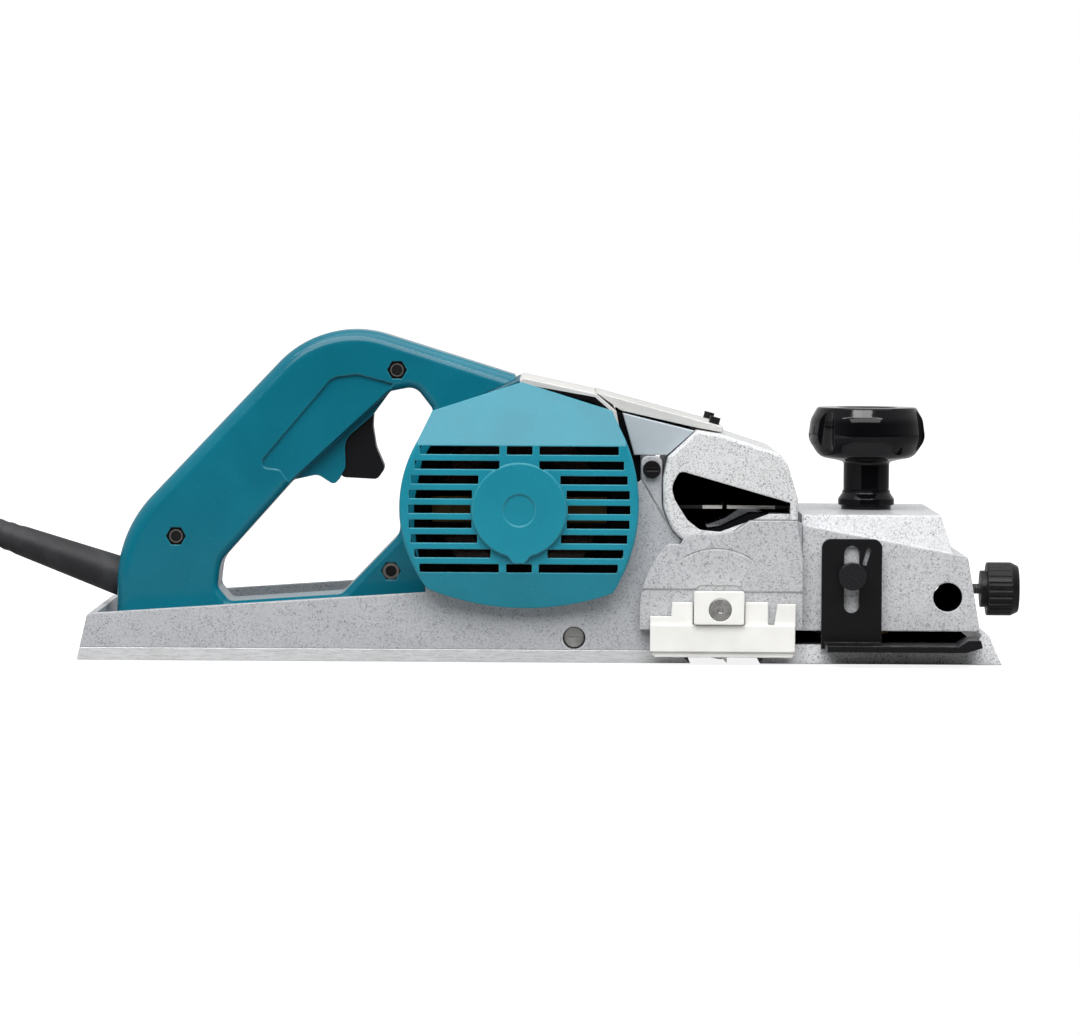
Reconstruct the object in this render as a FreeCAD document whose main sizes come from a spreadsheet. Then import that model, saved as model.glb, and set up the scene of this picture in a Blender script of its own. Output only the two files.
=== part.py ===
"""A portable electric planer: its sole stands on z = 0, +X points forward and +Z up.

The cutter drum and the motor lie across the tool, so both turn about Y. The motor's
vents, the chip outlet, the drum's guard and the depth gauge are on the -Y side, and the
belt drive is on the +Y side. All sizes are in millimetres.
"""
import FreeCAD
import Part
import Sketcher
import math
import os
import re

V = FreeCAD.Vector
doc = FreeCAD.newDocument("HandPlaner")
sheet = doc.addObject("Spreadsheet::Sheet", "Dimensions")
nodes = []

DIMENSIONS = {
    # overall
    "rear_end": -222.65,
    "side_reach": 95.5,
    "sole_half": 70,
    "sole_top": 5.8,
    "tray_floor": 9,
    "wall": 4,
    # the two axes across the tool
    "motor_x": -16.5,
    "motor_z": 70.8,
    "drum_x": 79.5,
    "drum_z": 25.5,
    "cut_radius": 25.45,
    "drum_radius": 23.6,
    "drum_near": -69.7,
    "drum_far": 65.7,
    "chamber_radius": 28.5,
    "shaft_radius": 4,
    "drum_shaft_radius": 5,
    "running_gap": 0.05,
    "body_gap": 0.3,
    # handle
    "handle_half": 20,
    "hook_half": 11,
    "trigger_half": 8.5,
    "pivot_x": -90,
    "pivot_z": 118.5,
    # motor
    "stator_radius": 41.6,
    "stator_bore": 23.4,
    "core_radius": 22.6,
    "commutator_radius": 13,
    "fan_radius": 38,
    "motor_pulley_radius": 17,
    "drum_pulley_radius": 15,
    "belt_thickness": 2.6,
    "belt_low": 80,
    "belt_high": 92,
    # front
    "knob_x": 149.4,
    "knob_top": 118.2,
    "screw_radius": 4,
    "post_x": 128.5,
    "post_y": 48,
    "post_radius": 5,
    "rule_x": 183.7,
    "rule_z": 31.4,
    "rule_radius": 6.8,
    "gauge_x": 138.5,
    "gauge_z": 41.5,
    # cord
    "cord_radius": 4.5,
    "guard_angle": 19.3,
    "guard_length": 72,
    "guard_root_x": -208.4,
    "guard_root_z": 35.3,
}


def fill_sheet():
    for row, (alias, value) in enumerate(DIMENSIONS.items(), start=1):
        sheet.set(f"A{row}", alias.replace("_", " "))
        sheet.set(f"B{row}", str(value))
        sheet.setAlias(f"B{row}", alias)
    doc.recompute()


def bound(expression):
    """An expression in which every dimension is named as a cell of the sheet."""
    return re.sub(r"[a-z]\w*", lambda word: "Dimensions." + word.group(0), str(expression))


def size(expression):
    """The number that an expression of the sheet's dimensions gives."""
    result = sheet.evalExpression(bound(expression))
    return float(getattr(result, "Value", result))


def keep(part, label):
    """Makes an object one of the tool's named pieces."""
    part.Label = label
    nodes.append(part)
    return part


# ---------------------------------------------------------------- outlines

def rounded(points):
    """Lines and tangent arcs round a closed outline of (across, up, corner radius)."""
    corners = [V(p[0], p[1], 0) for p in points]
    radii = [p[2] if len(p) > 2 else 0 for p in points]
    count = len(corners)
    starts, ends, arcs = [], [], []
    for i, corner in enumerate(corners):
        back = (corners[i - 1] - corner).normalize()
        ahead = (corners[(i + 1) % count] - corner).normalize()
        if not radii[i]:
            starts.append(corner)
            ends.append(corner)
            arcs.append(None)
            continue
        half = back.getAngle(ahead) / 2
        reach = radii[i] / math.tan(half)
        centre = corner + (back + ahead).normalize() * (radii[i] / math.sin(half))
        middle = centre + (corner - centre).normalize() * radii[i]
        starts.append(corner + back * reach)
        ends.append(corner + ahead * reach)
        arcs.append(Part.Arc(starts[-1], middle, ends[-1]))
    edges = []
    for i in range(count):
        if arcs[i]:
            edges.append(arcs[i])
        start, end = ends[i], starts[(i + 1) % count]
        if start.distanceToPoint(end) > 1e-6:
            edges.append(Part.LineSegment(start, end))
    return edges


def box_outline(left, low, right, high, radius=0):
    return rounded([(left, low, radius), (right, low, radius), (right, high, radius), (left, high, radius)])


def hexagon(x, z, across_flats):
    reach = across_flats / math.sqrt(3)
    angles = [math.radians(60 * i) for i in range(6)]
    return rounded([(x + reach * math.cos(a), z + reach * math.sin(a)) for a in angles])


def arc_points(x, z, radius, first, last, count):
    """Points on a circle from one angle to another, both in degrees."""
    angles = [math.radians(first + (last - first) * i / (count - 1)) for i in range(count)]
    return [(x + radius * math.cos(a), z + radius * math.sin(a)) for a in angles]


def band_outline(x, z, inner, outer, first, last):
    """A sector of a ring round (x, z) between two angles in degrees."""
    def arc(radius):
        ends = [V(px, pz, 0) for px, pz in arc_points(x, z, radius, first, last, 3)]
        return Part.Arc(*ends), ends
    outside, out = arc(outer)
    inside, into = arc(inner)
    return [outside, Part.LineSegment(out[2], into[2]), inside, Part.LineSegment(into[0], out[0])]


def two_circle_outline(x_one, z_one, r_one, x_two, z_two, r_two):
    """The belt-like outline round two circles, with its straight runs tangent to both."""
    one, two = V(x_one, z_one, 0), V(x_two, z_two, 0)
    line = two - one
    heading = math.atan2(line.y, line.x)
    spread = math.acos((r_one - r_two) / line.Length)

    def on(centre, radius, angle):
        return centre + V(math.cos(angle), math.sin(angle), 0) * radius
    up, down = heading + spread, heading - spread
    return [
        Part.Arc(on(one, r_one, up), on(one, r_one, heading + math.pi), on(one, r_one, down)),
        Part.LineSegment(on(one, r_one, down), on(two, r_two, down)),
        Part.Arc(on(two, r_two, down), on(two, r_two, heading), on(two, r_two, up)),
        Part.LineSegment(on(two, r_two, up), on(one, r_one, up)),
    ]


# ---------------------------------------------------------------- bodies

# The sign of each plane's normal along its own axis.
NORMAL = {"XY_Plane": 1, "YZ_Plane": 1, "XZ_Plane": -1}


def new_body(label):
    return keep(doc.addObject("PartDesign::Body", label), label)


def new_sketch(body, name, role, place):
    """A sketch on one of the body's own planes, at a place along the plane's axis."""
    sketch = body.newObject("Sketcher::SketchObject", name)
    plane = next(f for f in body.Origin.OriginFeatures if f.Role == role)
    sketch.AttachmentSupport = [(plane, "")]
    sketch.MapMode = "FlatFace"
    sketch.setExpression("AttachmentOffset.Base.z", bound(f"{NORMAL[role]} * ({place})"))
    return sketch


def draw(sketch, edges, circles):
    if edges:
        sketch.addGeometry(edges, False)
    for across, up, radius in circles:
        round_edge = Part.Circle(V(size(across), size(up), 0), V(0, 0, 1), size(radius))
        index = sketch.addGeometry(round_edge, False)
        rule = sketch.addConstraint(Sketcher.Constraint("Radius", index, size(radius)))
        sketch.setExpression(f"Constraints[{rule}]", bound(radius))


def add(body, name, role, low, high, edges=(), circles=()):
    """Pads an outline from low to high along its plane's axis."""
    sketch = new_sketch(body, name + "_outline", role, low if NORMAL[role] > 0 else high)
    draw(sketch, list(edges), circles)
    pad = body.newObject("PartDesign::Pad", name)
    pad.Profile = sketch
    pad.setExpression("Length", bound(f"({high}) - ({low})"))
    return pad


def cut(body, name, role, low, high, edges=(), circles=()):
    """Pockets an outline from low to high along its plane's axis."""
    sketch = new_sketch(body, name + "_outline", role, high if NORMAL[role] > 0 else low)
    draw(sketch, list(edges), circles)
    pocket = body.newObject("PartDesign::Pocket", name)
    pocket.Profile = sketch
    pocket.setExpression("Length", bound(f"({high}) - ({low})"))
    return pocket


def turn(body, name, points, x="0"):
    """Revolves a profile of (radius, height) about the sketch's own upright axis."""
    sketch = body.newObject("Sketcher::SketchObject", name + "_profile")
    plane = next(f for f in body.Origin.OriginFeatures if f.Role == "XZ_Plane")
    sketch.AttachmentSupport = [(plane, "")]
    sketch.MapMode = "FlatFace"
    sketch.addGeometry(rounded(points), False)
    revolution = body.newObject("PartDesign::Revolution", name)
    revolution.Profile = sketch
    revolution.ReferenceAxis = (sketch, ["V_Axis"])
    revolution.Angle = 360
    body.Placement.Base = V(size(x), 0, 0)
    return revolution


def round_edges(body, name, radius, wanted):
    """Fillets the edges of the body's tip whose middle point passes a test."""
    doc.recompute()
    base = body.Tip
    names = [
        f"Edge{i + 1}" for i, edge in enumerate(base.Shape.Edges)
        if wanted(edge.valueAt((edge.FirstParameter + edge.LastParameter) / 2))
    ]
    fillet = body.newObject("PartDesign::Fillet", name)
    fillet.Base = (base, names)
    fillet.Radius = radius
    return fillet


TURNED = {
    "X": FreeCAD.Rotation(V(0, 1, 0), 90),
    "Y": FreeCAD.Rotation(V(1, 0, 0), -90),
    "Z": FreeCAD.Rotation(),
}


def rod(name, axis, at, low, high, radius):
    """A plain cylinder along an axis; at holds the two other coordinates in X, Y, Z order."""
    part = doc.addObject("Part::Cylinder", name)
    part.Placement.Rotation = TURNED[axis]
    part.setExpression("Radius", bound(radius))
    part.setExpression("Height", bound(f"({high}) - ({low})"))
    others = iter(at)
    for letter in "XYZ":
        place = low if letter == axis else next(others)
        part.setExpression(f"Placement.Base.{letter.lower()}", bound(place))
    return part


def block(name, low, high):
    part = doc.addObject("Part::Box", name)
    for letter, side, start, end in zip("xyz", ("Length", "Width", "Height"), low, high):
        part.setExpression(f"Placement.Base.{letter}", bound(start))
        part.setExpression(side, bound(f"({end}) - ({start})"))
    return part


def prism(name, edges, role, low, high):
    """A plain prism in a body of its own, for use in a boolean or a group."""
    body = doc.addObject("PartDesign::Body", name)
    add(body, name + "_pad", role, low, high, edges)
    return body


def fused(label, parts):
    part = doc.addObject("Part::MultiFuse", label)
    part.Shapes = parts
    return part


def without(label, base, tool):
    part = doc.addObject("Part::Cut", label)
    part.Base = base
    part.Tool = tool
    return part


def group(label, parts):
    """Separate solids of one kind, kept together as one node."""
    part = doc.addObject("Part::Compound", label)
    part.Links = parts
    return keep(part, label)


def ring(label, x, z, inner, outer, low, high):
    """A ring round an axis along Y."""
    body = doc.addObject("PartDesign::Body", label)
    add(body, label + "_ring", "XZ_Plane", low, high, circles=[(x, z, outer), (x, z, inner)])
    return body


# ---------------------------------------------------------------- sole, frame and housings

def make_rear_sole():
    body = new_body("rear_sole")
    rear, top = size("rear_end"), size("sole_top")
    side = rounded([(rear, 0), (63.6, 0), (60.3, 2.8), (57.5, top), (rear + 1.2, top)])
    add(body, "sole_plate", "XZ_Plane", "-sole_half", "sole_half", side)
    holes = [(x, y, "4.2") for x in SOLE_SCREWS_X for y in SOLE_SCREWS_Y]
    cut(body, "sole_holes", "XY_Plane", "0", "sole_top", circles=holes)


SOLE_SCREWS_X = (-190, -90, 30)
SOLE_SCREWS_Y = (-50, 50)


def make_sole_screws():
    screws = []
    for x in SOLE_SCREWS_X:
        for y in SOLE_SCREWS_Y:
            name = f"sole_screw_{len(screws)}"
            whole = rod(name + "_head", "Z", (x, y), "0.6", "sole_top", "4.2")
            slot = block(name + "_slot", (x - 5, y - 0.6, "0"), (x + 5, y + 0.6, "1.8"))
            screws.append(without(name, whole, slot))
    group("sole_screws", screws)


# The cheek of the frame beside the motor, from the tray's wall up to the top plate.
CHEEK = [
    (-60, 24), (-60, 98, 10), (-48, 113, 12), (-16, 127.5, 8), (19, 119.6), (25, 117.4), (30.5, 104),
    (35.5, 89), (37.5, 83.5), (40.3, 85.5), (40.3, 96.6, 3), (49.8, 96.6, 3), (49.8, 73, 20),
    (54.2, 62.3, 12), (59, 57.5), (57, 51), (49, 40), (49, 20),
]


def make_frame_casting():
    body = new_body("frame_casting")
    rear = size("rear_end")
    side = rounded([
        (rear + 1.2, size("sole_top")), (rear + 4.75, 21.6, 2), (-60, 32.4), (44, 38), (51.5, 30),
        (51.5, 12), (57.4, size("sole_top")),
    ])
    add(body, "tray_block", "XZ_Plane", "-sole_half", "sole_half", side)
    inside = "sole_half - wall"
    tray = box_outline(rear + 9, -size(inside), 48, size(inside), 3)
    cut(body, "tray_hollow", "XY_Plane", "tray_floor", "60", tray)
    add(body, "near_cheek", "XZ_Plane", "-sole_half", f"-({inside})", rounded(CHEEK))
    add(body, "far_cheek", "XZ_Plane", inside, "sole_half", rounded(CHEEK))
    inner, outer = size("chamber_radius"), size("chamber_radius + 4")
    chamber = band_outline(size("drum_x"), size("drum_z"), inner, outer, -20, 205)
    add(body, "drum_chamber", "XZ_Plane", "-sole_half", "sole_half", chamber)
    front = box_outline(109.5, 16, 115.4, 65.6)
    add(body, "front_wall", "XZ_Plane", f"-({inside})", inside, front)
    below_hood = [(x, z - 0.3) for x, z in HOOD_FOOT]
    above_drum = [(112, 66.9), (115.4, 65.6), (115.4, 50), (100, 50), (79.5, 56), (60, 46)]
    near_end = rounded([(50, 40), (55, 55)] + below_hood + above_drum)
    add(body, "chamber_near_end", "XZ_Plane", "-sole_half", f"-({inside})", near_end)
    add(body, "chamber_far_end", "XZ_Plane", inside, "sole_half", near_end)
    add(body, "far_bearing_boss", "XZ_Plane", "sole_half", "sole_half + 8",
        circles=[("drum_x", "drum_z", "20")])
    add(body, "far_bearing_web", "XZ_Plane", inside, "sole_half", circles=[("drum_x", "drum_z", "30")])
    cut(body, "far_bearing_seat", "XZ_Plane", "0", "sole_half + 9", circles=[("drum_x", "drum_z", "14")])
    below = box_outline(30, -20, 120, size("sole_top") - 0.01)
    cut(body, "web_below_sole", "XZ_Plane", "-sole_half - 1", "sole_half + 9", below)
    mouth = box_outline(57.5, 0, 120, 15.6)
    cut(body, "mouth", "XZ_Plane", "-sole_half - 1", inside, mouth)
    cut(body, "mouth_front", "XZ_Plane", inside, "sole_half + 9", box_outline(96, 0, 120, 15.6))
    cut(body, "motor_hole", "XZ_Plane", "-sole_half - 1", "0", circles=[("motor_x", "motor_z", "43")])
    cut(body, "motor_seat", "XZ_Plane", "0", "sole_half + 1", circles=[("motor_x", "motor_z", "16")])
    window = box_outline(72, 48, 98, 64)
    cut(body, "chip_window", "XZ_Plane", "-50", "50", window)
    web_edge = rounded([(39.5, 85.9), (40.3, 86.4), (52.5, 65.9), (51.7, 65.4)])
    cut(body, "web_edge", "XZ_Plane", "-sole_half - 1", "-sole_half + 1", web_edge)
    add(body, "rule_screw_boss", "XZ_Plane", "-sole_half", "-sole_half + 14", box_outline(1, 6, 18, 20, 3))
    cut(body, "rule_screw_hole", "XZ_Plane", "-sole_half - 1", "-sole_half + 10",
        circles=[("9.4", "11.4", "5.3")])


def make_side_screw():
    head = rod("side_screw_head", "Y", ("9.4", "11.4"), "-sole_half + 6", "-sole_half + 10", "4.6")
    slot = block("side_screw_slot", ("9.4 - 5", "-sole_half + 5", "11.4 - 0.6"),
                 ("9.4 + 5", "-sole_half + 7.2", "11.4 + 0.6"))
    keep(without("side_screw", head, slot), "side_screw")


def make_motor_housing():
    body = new_body("motor_housing")
    add(body, "housing_block", "XZ_Plane", "-sole_half + wall + 0.2", "sole_half - wall - 0.2",
        rounded(HOUSING))
    cut(body, "housing_hollow", "XZ_Plane", "-sole_half", "50", rounded(HOUSING_HOLLOW))
    add(body, "stator_seat", "XZ_Plane", "-45", "50", circles=[("motor_x", "motor_z", "stator_radius + 4")])
    cut(body, "motor_bore", "XZ_Plane", "-sole_half", "50",
        circles=[("motor_x", "motor_z", "stator_radius + 0.2")])
    cut(body, "far_wall_pocket", "XZ_Plane", "56", "sole_half", rounded(HOUSING_HOLLOW),
        [("motor_x", "motor_z", "16")])
    cut(body, "bearing_bore", "XZ_Plane", "50", "sole_half", circles=[("motor_x", "motor_z", "11")])
    cut(body, "air_outlet", "XZ_Plane", "26", "49", box_outline(18, 84, 50, 100))


# The motor housing's outline; its rear and top edges are where the handle meets it.
HOUSING_BACK = [(-60, 28), (-65.5, 62), (-65.8, 74), (-62, 94), (-55, 106), (-49.5, 117), (-16.8, 131.6)]
HOUSING = HOUSING_BACK + [
    (-15, 132.6), (19.2, 125.3), (28.5, 117.3), (31, 104), (34, 92), (34, 40), (30, 24), (-54, 24),
]
HOUSING_HOLLOW = [
    (-52, 28), (-61.4, 62), (-61.6, 74), (-58, 93), (-51.6, 104), (-46.5, 114), (-15, 128.2),
    (17.6, 121.4), (24.8, 115.2), (27, 103), (30, 91), (30, 41), (27.5, 28),
]


def make_end_cover():
    body = new_body("motor_end_cover")
    outline = [
        Part.LineSegment(V(-57.1, 117.3, 0), V(-15.7, 130.7, 0)),
        Part.LineSegment(V(-15.7, 130.7, 0), V(26.2, 117.8, 0)),
        Part.LineSegment(V(26.2, 117.8, 0), V(32.6, 104.4, 0)),
        Part.Arc(V(32.6, 104.4, 0), V(39, 74, 0), V(27, 33, 0)),
        Part.Arc(V(27, 33, 0), V(-15.7, 25.8, 0), V(-59, 34.8, 0)),
        Part.Arc(V(-59, 34.8, 0), V(-72.2, 73, 0), V(-63.6, 103.9, 0)),
        Part.LineSegment(V(-63.6, 103.9, 0), V(-57.1, 117.3, 0)),
    ]
    add(body, "cover_block", "XZ_Plane", "-84", "-sole_half - 0.1", outline)
    round_edges(body, "cover_front", 1.6, lambda point: abs(point.y + 84) < 1e-4)
    cut(body, "top_slope", "YZ_Plane", "-80", "60",
        rounded([(-84.1, 101.2), (-84.1, 140), (-68.5, 140), (-73.5, 131)]))
    cut(body, "foot_slope", "YZ_Plane", "-80", "60", rounded([(-84.1, 43.2), (-76.5, 20), (-84.1, 20)]))
    cavity = rounded([
        (-61.8, 42.4, 2), (-66.8, 57), (-68.6, 72), (-66.8, 87), (-61.8, 102.6, 2),
        (29, 102.6, 2), (33.8, 87), (35.8, 72), (33.8, 57), (28.4, 42.4, 2),
    ])
    cut(body, "cover_hollow", "XZ_Plane", "-81.6", "-sole_half", cavity)
    add(body, "boss", "XZ_Plane", "-87", "-81.6", boss_outline())
    add(body, "bearing_seat", "XZ_Plane", "-82", "-71", circles=[("motor_x", "motor_z", "15")])
    cut(body, "bearing_bore_cover", "XZ_Plane", "-81", "-sole_half", circles=[("motor_x", "motor_z", "11")])
    cut(body, "boss_dimple", "XZ_Plane", "-87.1", "-86.4", circles=[("motor_x", "motor_z + 0.8", "7.5")])
    for row in range(9):
        cut(body, f"slots_{row + 1}", "XZ_Plane", "-85", "-81", slot_row(row))


BOSS_RADIUS = 21.7
SLOT_PITCH = 6.84
SLOT_HEIGHT = 3.9
TOP_SLOT = 99.3


def boss_outline():
    """A disc with a small blunt tab at its foot."""
    x, z = size("motor_x"), size("motor_z + 0.8")
    half_root, half_tip, drop = 5.4, 2.4, 2.8
    root = z - math.sqrt(BOSS_RADIUS ** 2 - half_root ** 2)
    tip = z - BOSS_RADIUS - drop
    corners = [V(x + half_root, root, 0), V(x + half_tip, tip, 0), V(x - half_tip, tip, 0),
               V(x - half_root, root, 0)]
    tab = [Part.LineSegment(one, two) for one, two in zip(corners, corners[1:])]
    return [Part.Arc(corners[-1], V(x, z + BOSS_RADIUS, 0), corners[0])] + tab


def slot_row(row):
    """One row of vents: its ends follow the cover's bulging sides, and the boss interrupts it."""
    middle = TOP_SLOT - SLOT_PITCH * row
    low, high = middle - SLOT_HEIGHT / 2, middle + SLOT_HEIGHT / 2
    away = middle - 72
    left = 5 - math.sqrt(73 ** 2 - away ** 2)
    right = -35 + math.sqrt(70 ** 2 - away ** 2)
    x, z = size("motor_x"), size("motor_z + 0.8")
    stops = [(-25.8, -22.4), (-10.5, -7.3)] if row in (0, 8) else [(-25.8, -7.3)]
    nearest = max(0, min(abs(low - z), abs(high - z)) if (low - z) * (high - z) > 0 else 0)
    if row not in (0, 1, 8):
        reach = math.sqrt(max(0, (BOSS_RADIUS + 0.8) ** 2 - nearest ** 2))
        stops = [(x - max(reach, 7), x + max(reach, 7))]
    edges = []
    start = left
    for stop in stops + [(right, None)]:
        edges += box_outline(start, low, stop[0], high)
        start = stop[1]
    return edges


# ---------------------------------------------------------------- handle

OPENING = [
    (-154.5, 24.4, 4), (-160.2, 31.5, 5), (-158.8, 43.5, 12), (-124.5, 82.2, 5), (-113, 84.8, 5),
    (-104.8, 79.6, 2.5), (-99.8, 88, 4), (-100.3, 101.5, 9), (-87.5, 112.6, 8), (-78.5, 125, 6),
    (-66.5, 127.2, 7),
    (-57.8, 116, 3), (-68.3, 95, 20), (-73.3, 77, 20), (-74, 66, 20), (-73, 57.5, 9), (-101, 28.2, 5),
]
# The opening beyond the finger hook, which is narrower than the grip.
WIDE_OPENING = OPENING[:3] + [(-124.5, 82.2, 40), (-78.8, 124.7, 4)] + OPENING[10:]
HANDLE_TOP = [(-208.3, 9.1), (-208.3, 56.9, 60), (-110, 161.1, 50), (-19, 132.9)]
HANDLE = HANDLE_TOP + [(-19, 130.7)] + HOUSING_BACK[-2::-1] + [(-60, 9.1)]
HANDLE_SCREWS = [("-75.2", "135"), ("-180", "55.4"), ("-77.6", "39.3")]
GRIP_HOLLOW = [
    (-200, 14), (-200, 58.4, 50), (-114, 149.5, 20), (-85, 143), (-87, 133), (-118, 106),
    (-165, 50), (-166, 19), (-90, 19), (-70, 30), (-66, 14),
]
TRIGGER_SLOT = [(-82, 128, 3), (-95, 128), (-111, 112), (-114, 90), (-108, 76), (-78, 76), (-78, 124)]


def make_handle_half(label, side):
    """One half shell of the handle; side is -1 for the half on -Y and 1 for the other."""
    def span(near, far):
        """The lowest and highest y of a slab that lies from near to far out of the joint."""
        return (f"-({far})", f"-({near})") if side < 0 else (near, far)
    body = new_body(label)
    add(body, label + "_core", "XZ_Plane", *span("0", "hook_half"), rounded(HANDLE) + rounded(OPENING))
    add(body, label + "_grip", "XZ_Plane", *span("hook_half", "handle_half"),
        rounded(HANDLE) + rounded(WIDE_OPENING))
    face = side * size("handle_half")

    def along(edges):
        """A test for the edges on the half's outer face that follow an outline."""
        line = Part.Compound([edge.toShape() for edge in edges])

        def wanted(point):
            flat = Part.Vertex(point.x, point.z, 0)
            return abs(point.y - face) < 1e-4 and line.distToShape(flat)[0] < 0.01
        return wanted
    # The outer line's first and last edges close it, so they are left out.
    round_edges(body, label + "_round_outside", 6.5, along(rounded(HANDLE_TOP)[:-1]))
    round_edges(body, label + "_round_opening", 3.8, along(rounded(WIDE_OPENING)))
    pillar = [(*HANDLE_SCREWS[1], "5.5")]
    cut(body, label + "_hollow", "XZ_Plane", *span("0", "handle_half - 4"), rounded(GRIP_HOLLOW), pillar)
    cut(body, label + "_slot", "XZ_Plane", *span("0", "trigger_half + 0.5"), rounded(TRIGGER_SLOT))
    panel = rounded([
        (-142.3, 88.3, 3), (-106, 131.4, 8), (-94, 133, 6), (-77, 128.6), (-79.5, 123.5), (-126.5, 81),
        (-131, 87.2, 3),
    ])
    cut(body, label + "_panel", "XZ_Plane", *span("handle_half - 1.4", "handle_half + 1"), panel)
    holes = [(x, z, "2.7") for x, z in HANDLE_SCREWS]
    cut(body, label + "_screw_holes", "XZ_Plane", *span("0", "handle_half + 1"), circles=holes)
    if side < 0:
        recess = [edge for x, z in HANDLE_SCREWS for edge in hexagon(float(x), float(z), 8.3)]
        cut(body, label + "_nut_recess", "XZ_Plane", *span("handle_half - 4.6", "handle_half + 1"), recess)
    else:
        recess = [(x, z, "4.6") for x, z in HANDLE_SCREWS]
        cut(body, label + "_head_recess", "XZ_Plane", *span("handle_half - 4.6", "handle_half + 1"),
            circles=recess)
        cut(body, label + "_button_hole", "XZ_Plane", "0", "handle_half + 1",
            circles=[("-117", "119", "5.3")])
    return body


def make_handle_fasteners():
    screws, nuts = [], []
    for number, (x, z) in enumerate(HANDLE_SCREWS):
        shank = rod(f"handle_screw_shank_{number}", "Y", (x, z), "-handle_half + 0.8",
            "handle_half - 4.6", "2.5")
        head = rod(f"handle_screw_head_{number}", "Y", (x, z), "handle_half - 4.6", "handle_half - 1",
            "4.4")
        screws.append(fused(f"handle_screw_{number}", [shank, head]))
        nut = doc.addObject("PartDesign::Body", f"handle_nut_{number}")
        add(nut, f"handle_nut_pad_{number}", "XZ_Plane", "-handle_half + 0.6", "-handle_half + 4.6",
            hexagon(float(x), float(z), 8), [(x, z, "2.5")])
        nuts.append(nut)
    group("handle_screws", screws)
    group("handle_nuts", nuts)


def make_trigger():
    body = new_body("trigger")
    outline = rounded([
        (-86.2, 121, 3), (-87, 108, 12), (-85.4, 98, 12), (-81, 88, 4), (-84.5, 82.6, 3), (-101, 83.4, 3),
        (-106.5, 91, 4),
        (-101, 110, 8), (-94, 122, 3),
    ])
    add(body, "trigger_block", "XZ_Plane", "-trigger_half", "trigger_half", outline)
    cut(body, "trigger_pivot_hole", "XZ_Plane", "-trigger_half", "trigger_half",
        circles=[("pivot_x", "pivot_z", "1.55")])


def make_grip_internals():
    pin = rod("trigger_pin", "Y", ("pivot_x", "pivot_z"), "-trigger_half - 0.5", "trigger_half + 0.5",
        "1.5")
    keep(pin, "trigger_pin")
    switch = doc.addObject("Part::Box", "switch_body")
    switch.Length = 38
    switch.Width = 22
    switch.Height = 22
    tilt = FreeCAD.Rotation(V(0, 1, 0), -46)
    corner = tilt.multVec(V(-19, -11, -11))
    switch.Placement = FreeCAD.Placement(V(-131.3, 0, 113.3) + corner, tilt)
    keep(switch, "switch_body")
    stem = rod("lock_button_stem", "Y", ("-117", "119"), "13.8", "handle_half + 2.5", "5")
    keep(stem, "lock_button")


# ---------------------------------------------------------------- motor and drum

def make_rotor():
    shaft = rod("motor_shaft", "Y", ("motor_x", "motor_z"), "-79.5", "93", "shaft_radius")
    keep(shaft, "motor_shaft")
    core = new_body("armature_core")
    add(core, "core_ring", "XZ_Plane", "-28", "20", circles=[
        ("motor_x", "motor_z", "core_radius"), ("motor_x", "motor_z", "shaft_radius")])
    notches = []
    for number in range(12):
        angle = math.radians(30 * number)
        notches.append((f"motor_x + {20.6 * math.cos(angle):.3f}",
            f"motor_z + {20.6 * math.sin(angle):.3f}", "1.3"))
    cut(core, "core_slots", "XZ_Plane", "-28", "20", circles=notches)
    windings = []
    for number, (low, high) in enumerate((("-40", "-28"), ("20", "29"))):
        body = doc.addObject("PartDesign::Body", f"winding_{number}")
        add(body, f"winding_ring_{number}", "XZ_Plane", low, high, circles=[
            ("motor_x", "motor_z", "18.5"), ("motor_x", "motor_z", "shaft_radius")])
        windings.append(body)
    group("armature_windings", windings)
    commutator = ring("commutator", "motor_x", "motor_z", "shaft_radius", "commutator_radius", "-62", "-42")
    keep(commutator, "commutator")
    fan = ring("fan", "motor_x", "motor_z", "shaft_radius", "fan_radius", "44", "46")
    add(fan, "fan_hub", "XZ_Plane", "34", "44", circles=[
        ("motor_x", "motor_z", "9"), ("motor_x", "motor_z", "shaft_radius")])
    vane = rounded([(-1, 12), (1, 12), (1, size("fan_radius") - 1), (-1, size("fan_radius") - 1)])
    x, z = size("motor_x"), size("motor_z")
    for number in range(9):
        turned = FreeCAD.Matrix()
        turned.rotateZ(math.radians(40 * number))
        turned.move(V(x, z, 0))
        edges = []
        for edge in vane:
            moved = edge.copy()
            moved.transform(turned)
            edges.append(moved)
        add(fan, f"fan_vane_{number + 1}", "XZ_Plane", "36", "44", edges)
    keep(fan, "fan")
    pulley("motor_pulley", "motor_x", "motor_z", "shaft_radius", "motor_pulley_radius")


def pulley(label, x, z, bore, radius):
    """A ribbed belt pulley with a flange at each end."""
    body = ring(label, x, z, bore, radius, "belt_low - 0.4", "belt_high + 0.4")
    for number in range(4):
        low = f"belt_low + {1.4 + 2.6 * number}"
        groove = [(x, z, f"{radius} + 1"), (x, z, f"{radius} - 0.9")]
        cut(body, f"{label}_groove_{number + 1}", "XZ_Plane", low, f"{low} + 1.4", circles=groove)
    keep(body, label)


def make_stator():
    keep(ring("stator", "motor_x", "motor_z", "stator_bore", "stator_radius", "-28", "20"), "stator")
    coils = []
    for number, (low, high) in enumerate((("-38", "-28"), ("20", "28"))):
        for half, (first, last) in enumerate(((20, 160), (200, 340))):
            body = doc.addObject("PartDesign::Body", f"field_coil_{number}_{half}")
            edges = band_outline(size("motor_x"), size("motor_z"), 26, 38, first, last)
            add(body, f"field_coil_pad_{number}_{half}", "XZ_Plane", low, high, edges)
            coils.append(body)
    group("field_coils", coils)


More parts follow.
